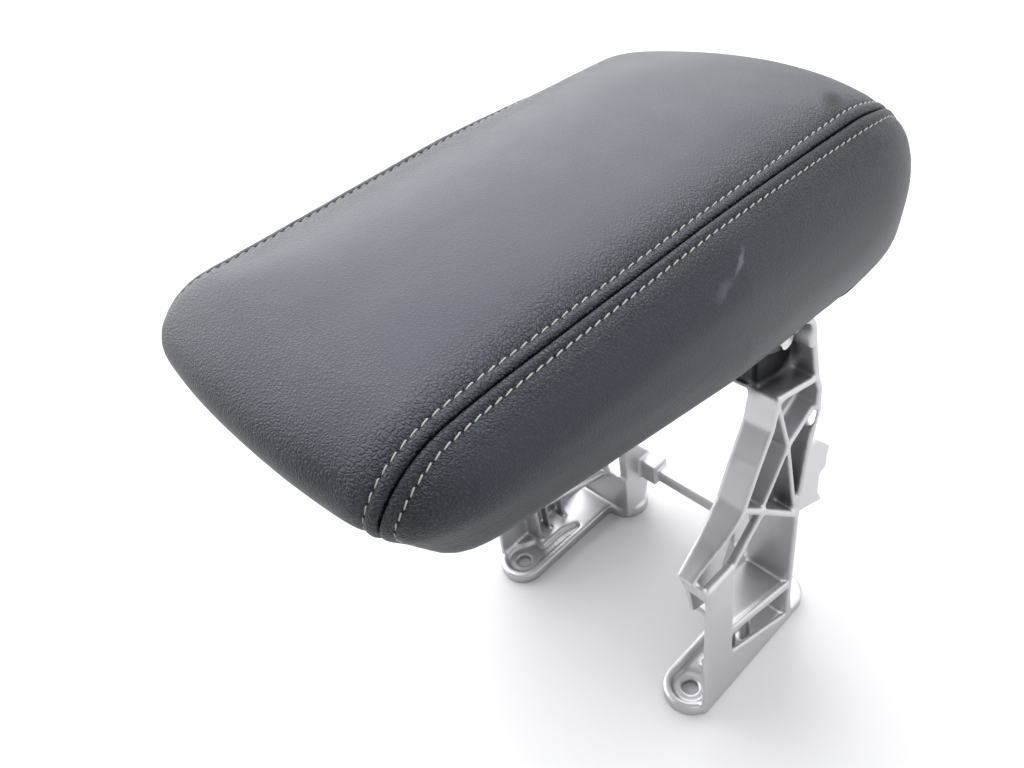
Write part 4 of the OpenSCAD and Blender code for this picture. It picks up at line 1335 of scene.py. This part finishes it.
@dataclass
class Studio:
    """Pale floor, soft lights and the camera at the photograph's angle."""

    position_mm: tuple[float, float, float] = (214.55058, -185.875585, 440.574646)
    azimuth: float = 53.833786
    elevation: float = 40.97894
    roll: float = -11.494268
    lens_mm: float = 30.1409
    sensor_mm: float = 36.0
    floor_m: float = 8.0
    # Broad bright sides of the surroundings: direction, where each starts and is full, and its strength
    glows: tuple[tuple[tuple[float, float, float], float, float, float], ...] = (
        ((-0.9, 0.15, 0.45), 0.45, 0.95, 3.9), ((0.6, 0.75, 0.3), -0.2, 0.9, 1.25))
    room_glow: float = 0.42

    def camera(self) -> bpy.types.Object:
        """Places the camera."""
        az, el, roll = (math.radians(a) for a in (self.azimuth, self.elevation, self.roll))
        back = Vector((math.sin(az) * math.cos(el), -math.cos(az) * math.cos(el), math.sin(el)))
        right = Vector((math.cos(az), math.sin(az), 0.0))
        up = back.cross(right)
        r = right * math.cos(roll) + up * math.sin(roll)
        u = up * math.cos(roll) - right * math.sin(roll)
        data = bpy.data.cameras.new("camera")
        data.lens, data.sensor_width, data.sensor_fit = self.lens_mm, self.sensor_mm, "HORIZONTAL"
        data.clip_start, data.clip_end = 0.01, 50.0
        obj = bpy.data.objects.new("camera", data)
        basis = Matrix((r, u, back)).transposed().to_4x4()
        basis.translation = Vector(self.position_mm) * MM
        obj.matrix_world = basis
        bpy.context.collection.objects.link(obj)
        bpy.context.scene.camera = obj
        return obj

    def softbox(self, name: str, where: tuple[float, float, float], size: float, power: float) -> None:
        """Hangs a square soft light that faces the armrest.

        Args:
            name: Name of the light.
            where: Its place in metres.
            size: Its side in metres.
            power: Its power in watts.
        """
        data = bpy.data.lights.new(name, "AREA")
        data.shape, data.size, data.energy = "SQUARE", size, power
        obj = bpy.data.objects.new(name, data)
        obj.location = where
        obj.rotation_euler = (Vector((0.0, 0.03, 0.2)) - Vector(where)).to_track_quat("-Z", "Y").to_euler()
        bpy.context.collection.objects.link(obj)

    def build(self) -> None:
        """Sets up floor, lights, surroundings and camera."""
        half = self.floor_m / 2
        floor = mesh_object("floor", np.array([(-half, -half, 0), (half, -half, 0), (half, half, 0), (-half, half, 0)]),
                            [(0, 1, 2, 3)], smooth=False)
        floor.location.z = -0.0002
        floor.data.materials.append(Dull("floor_matt_paint", "#d3d3d2", "#d1d1d0", 0.7, 20.0, 0.01).material())
        world = bpy.data.worlds.new("studio")
        bpy.context.scene.world = world
        world.use_nodes = True
        t = world.node_tree
        t.nodes.clear()
        ray = add_node(t, "TexCoord")
        total = None
        for direction, start, full, strength in self.glows:
            toward = add_node(t, "VectorMath", {0: ray.outputs["Generated"]}, operation="DOT_PRODUCT")
            toward.inputs[1].default_value = Vector(direction).normalized()
            lit = add_node(t, "MapRange", {"Value": toward.outputs["Value"]}, interpolation_type="SMOOTHSTEP")
            for socket, value in {"From Min": start, "From Max": full, "To Min": 0.0, "To Max": strength}.items():
                lit.inputs[socket].default_value = value
            both = add_node(t, "Math", {0: lit.outputs[0]}, operation="ADD")
            if total is None:
                both.inputs[1].default_value = self.room_glow
            else:
                t.links.new(total, both.inputs[1])
            total = both.outputs[0]
        glow = add_node(t, "Background", {"Strength": total})
        glow.inputs["Color"].default_value = linear("#fbfbff")
        add_node(t, "OutputWorld", {"Surface": glow.outputs[0]})
        self.softbox("top_softbox", (0.1, 0.1, 2.0), 1.8, 14.0)
        self.camera()
        bpy.context.scene.view_settings.view_transform = "Standard"


def main() -> None:
    """Builds the armrest's looks, piece by piece."""
    logging.basicConfig(level=logging.INFO, format="%(name)s: %(message)s")
    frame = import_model()
    Studio().build()
    groups = [
        RigidParts("bracket casting", CastAluminium(), ("bracket_casting",), round_step_mm=0.9),
        RigidParts("shaft and thrust washers", Metal("steel_ground", "#cfcfcd", 0.22, 0.5, 0.008, stretch=8.0,
                                                     dark="#bdbdbb"),
                   ("hinge_shaft", "left_thrust_washer", "right_thrust_washer")),
        RigidParts("clips and disc springs", Metal("spring_steel_oiled", "#4a4a4d", 0.34, 0.6, 0.01, dark="#38383b"),
                   ("shaft_clips", "left_disc_springs", "right_disc_springs")),
        RigidParts("hinge arms and screws", Metal("steel_zinc_plated", "#b4b8bd", 0.32, 0.9, 0.01, edge_mm=0.5,
                                                  dark="#a2a6ac"),
                   ("left_hinge_arm", "right_hinge_arm", "arm_screws", "cover_screws")),
        RigidParts("bushes", Metal("bronze_sintered", "#a97f45", 0.42, 0.4, 0.02, dark="#8c6836"),
                   ("left_bush", "right_bush")),
        RigidParts("buffers", Dull("rubber_moulded", "#1b1b1c", "#121213", 0.62, 0.8, 0.02, ior=1.52, edge_mm=0.5),
                   ("left_buffer", "right_buffer")),
        RigidParts("underside mouldings", Dull("abs_moulded_grained", "#1d1e20", "#141516", 0.5, 0.7, 0.04, ior=1.53,
                                               edge_mm=0.5),
                   ("support_shell", "underside_cover", "edge_strip")),
    ]
    for group in groups:
        group.dress(frame)
        LOG.info("%s: %s", group.title, ", ".join(group.nodes))
    form = LidForm()
    cover = SewnCover(form, Swelling(form))
    foam = Dull("polyurethane_foam_open_cell", "#cfc39a", "#a99d77", 0.9, 1.2, 0.3)
    for piece in cover.build(Leatherette().material(), foam.material()):
        LOG.info("%s: %d points, %d faces", piece.name, len(piece.data.vertices), len(piece.data.polygons))
    thread = Dull("polyester_thread_spun", "#a9a8a2", "#7f7e79", 0.6, 0.5, 0.08, ior=1.55)
    for piece in TopStitching(cover).build(thread.material()):
        LOG.info("%s: %d points", piece.name, len(piece.data.vertices))


if __name__ == "__main__":
    main()
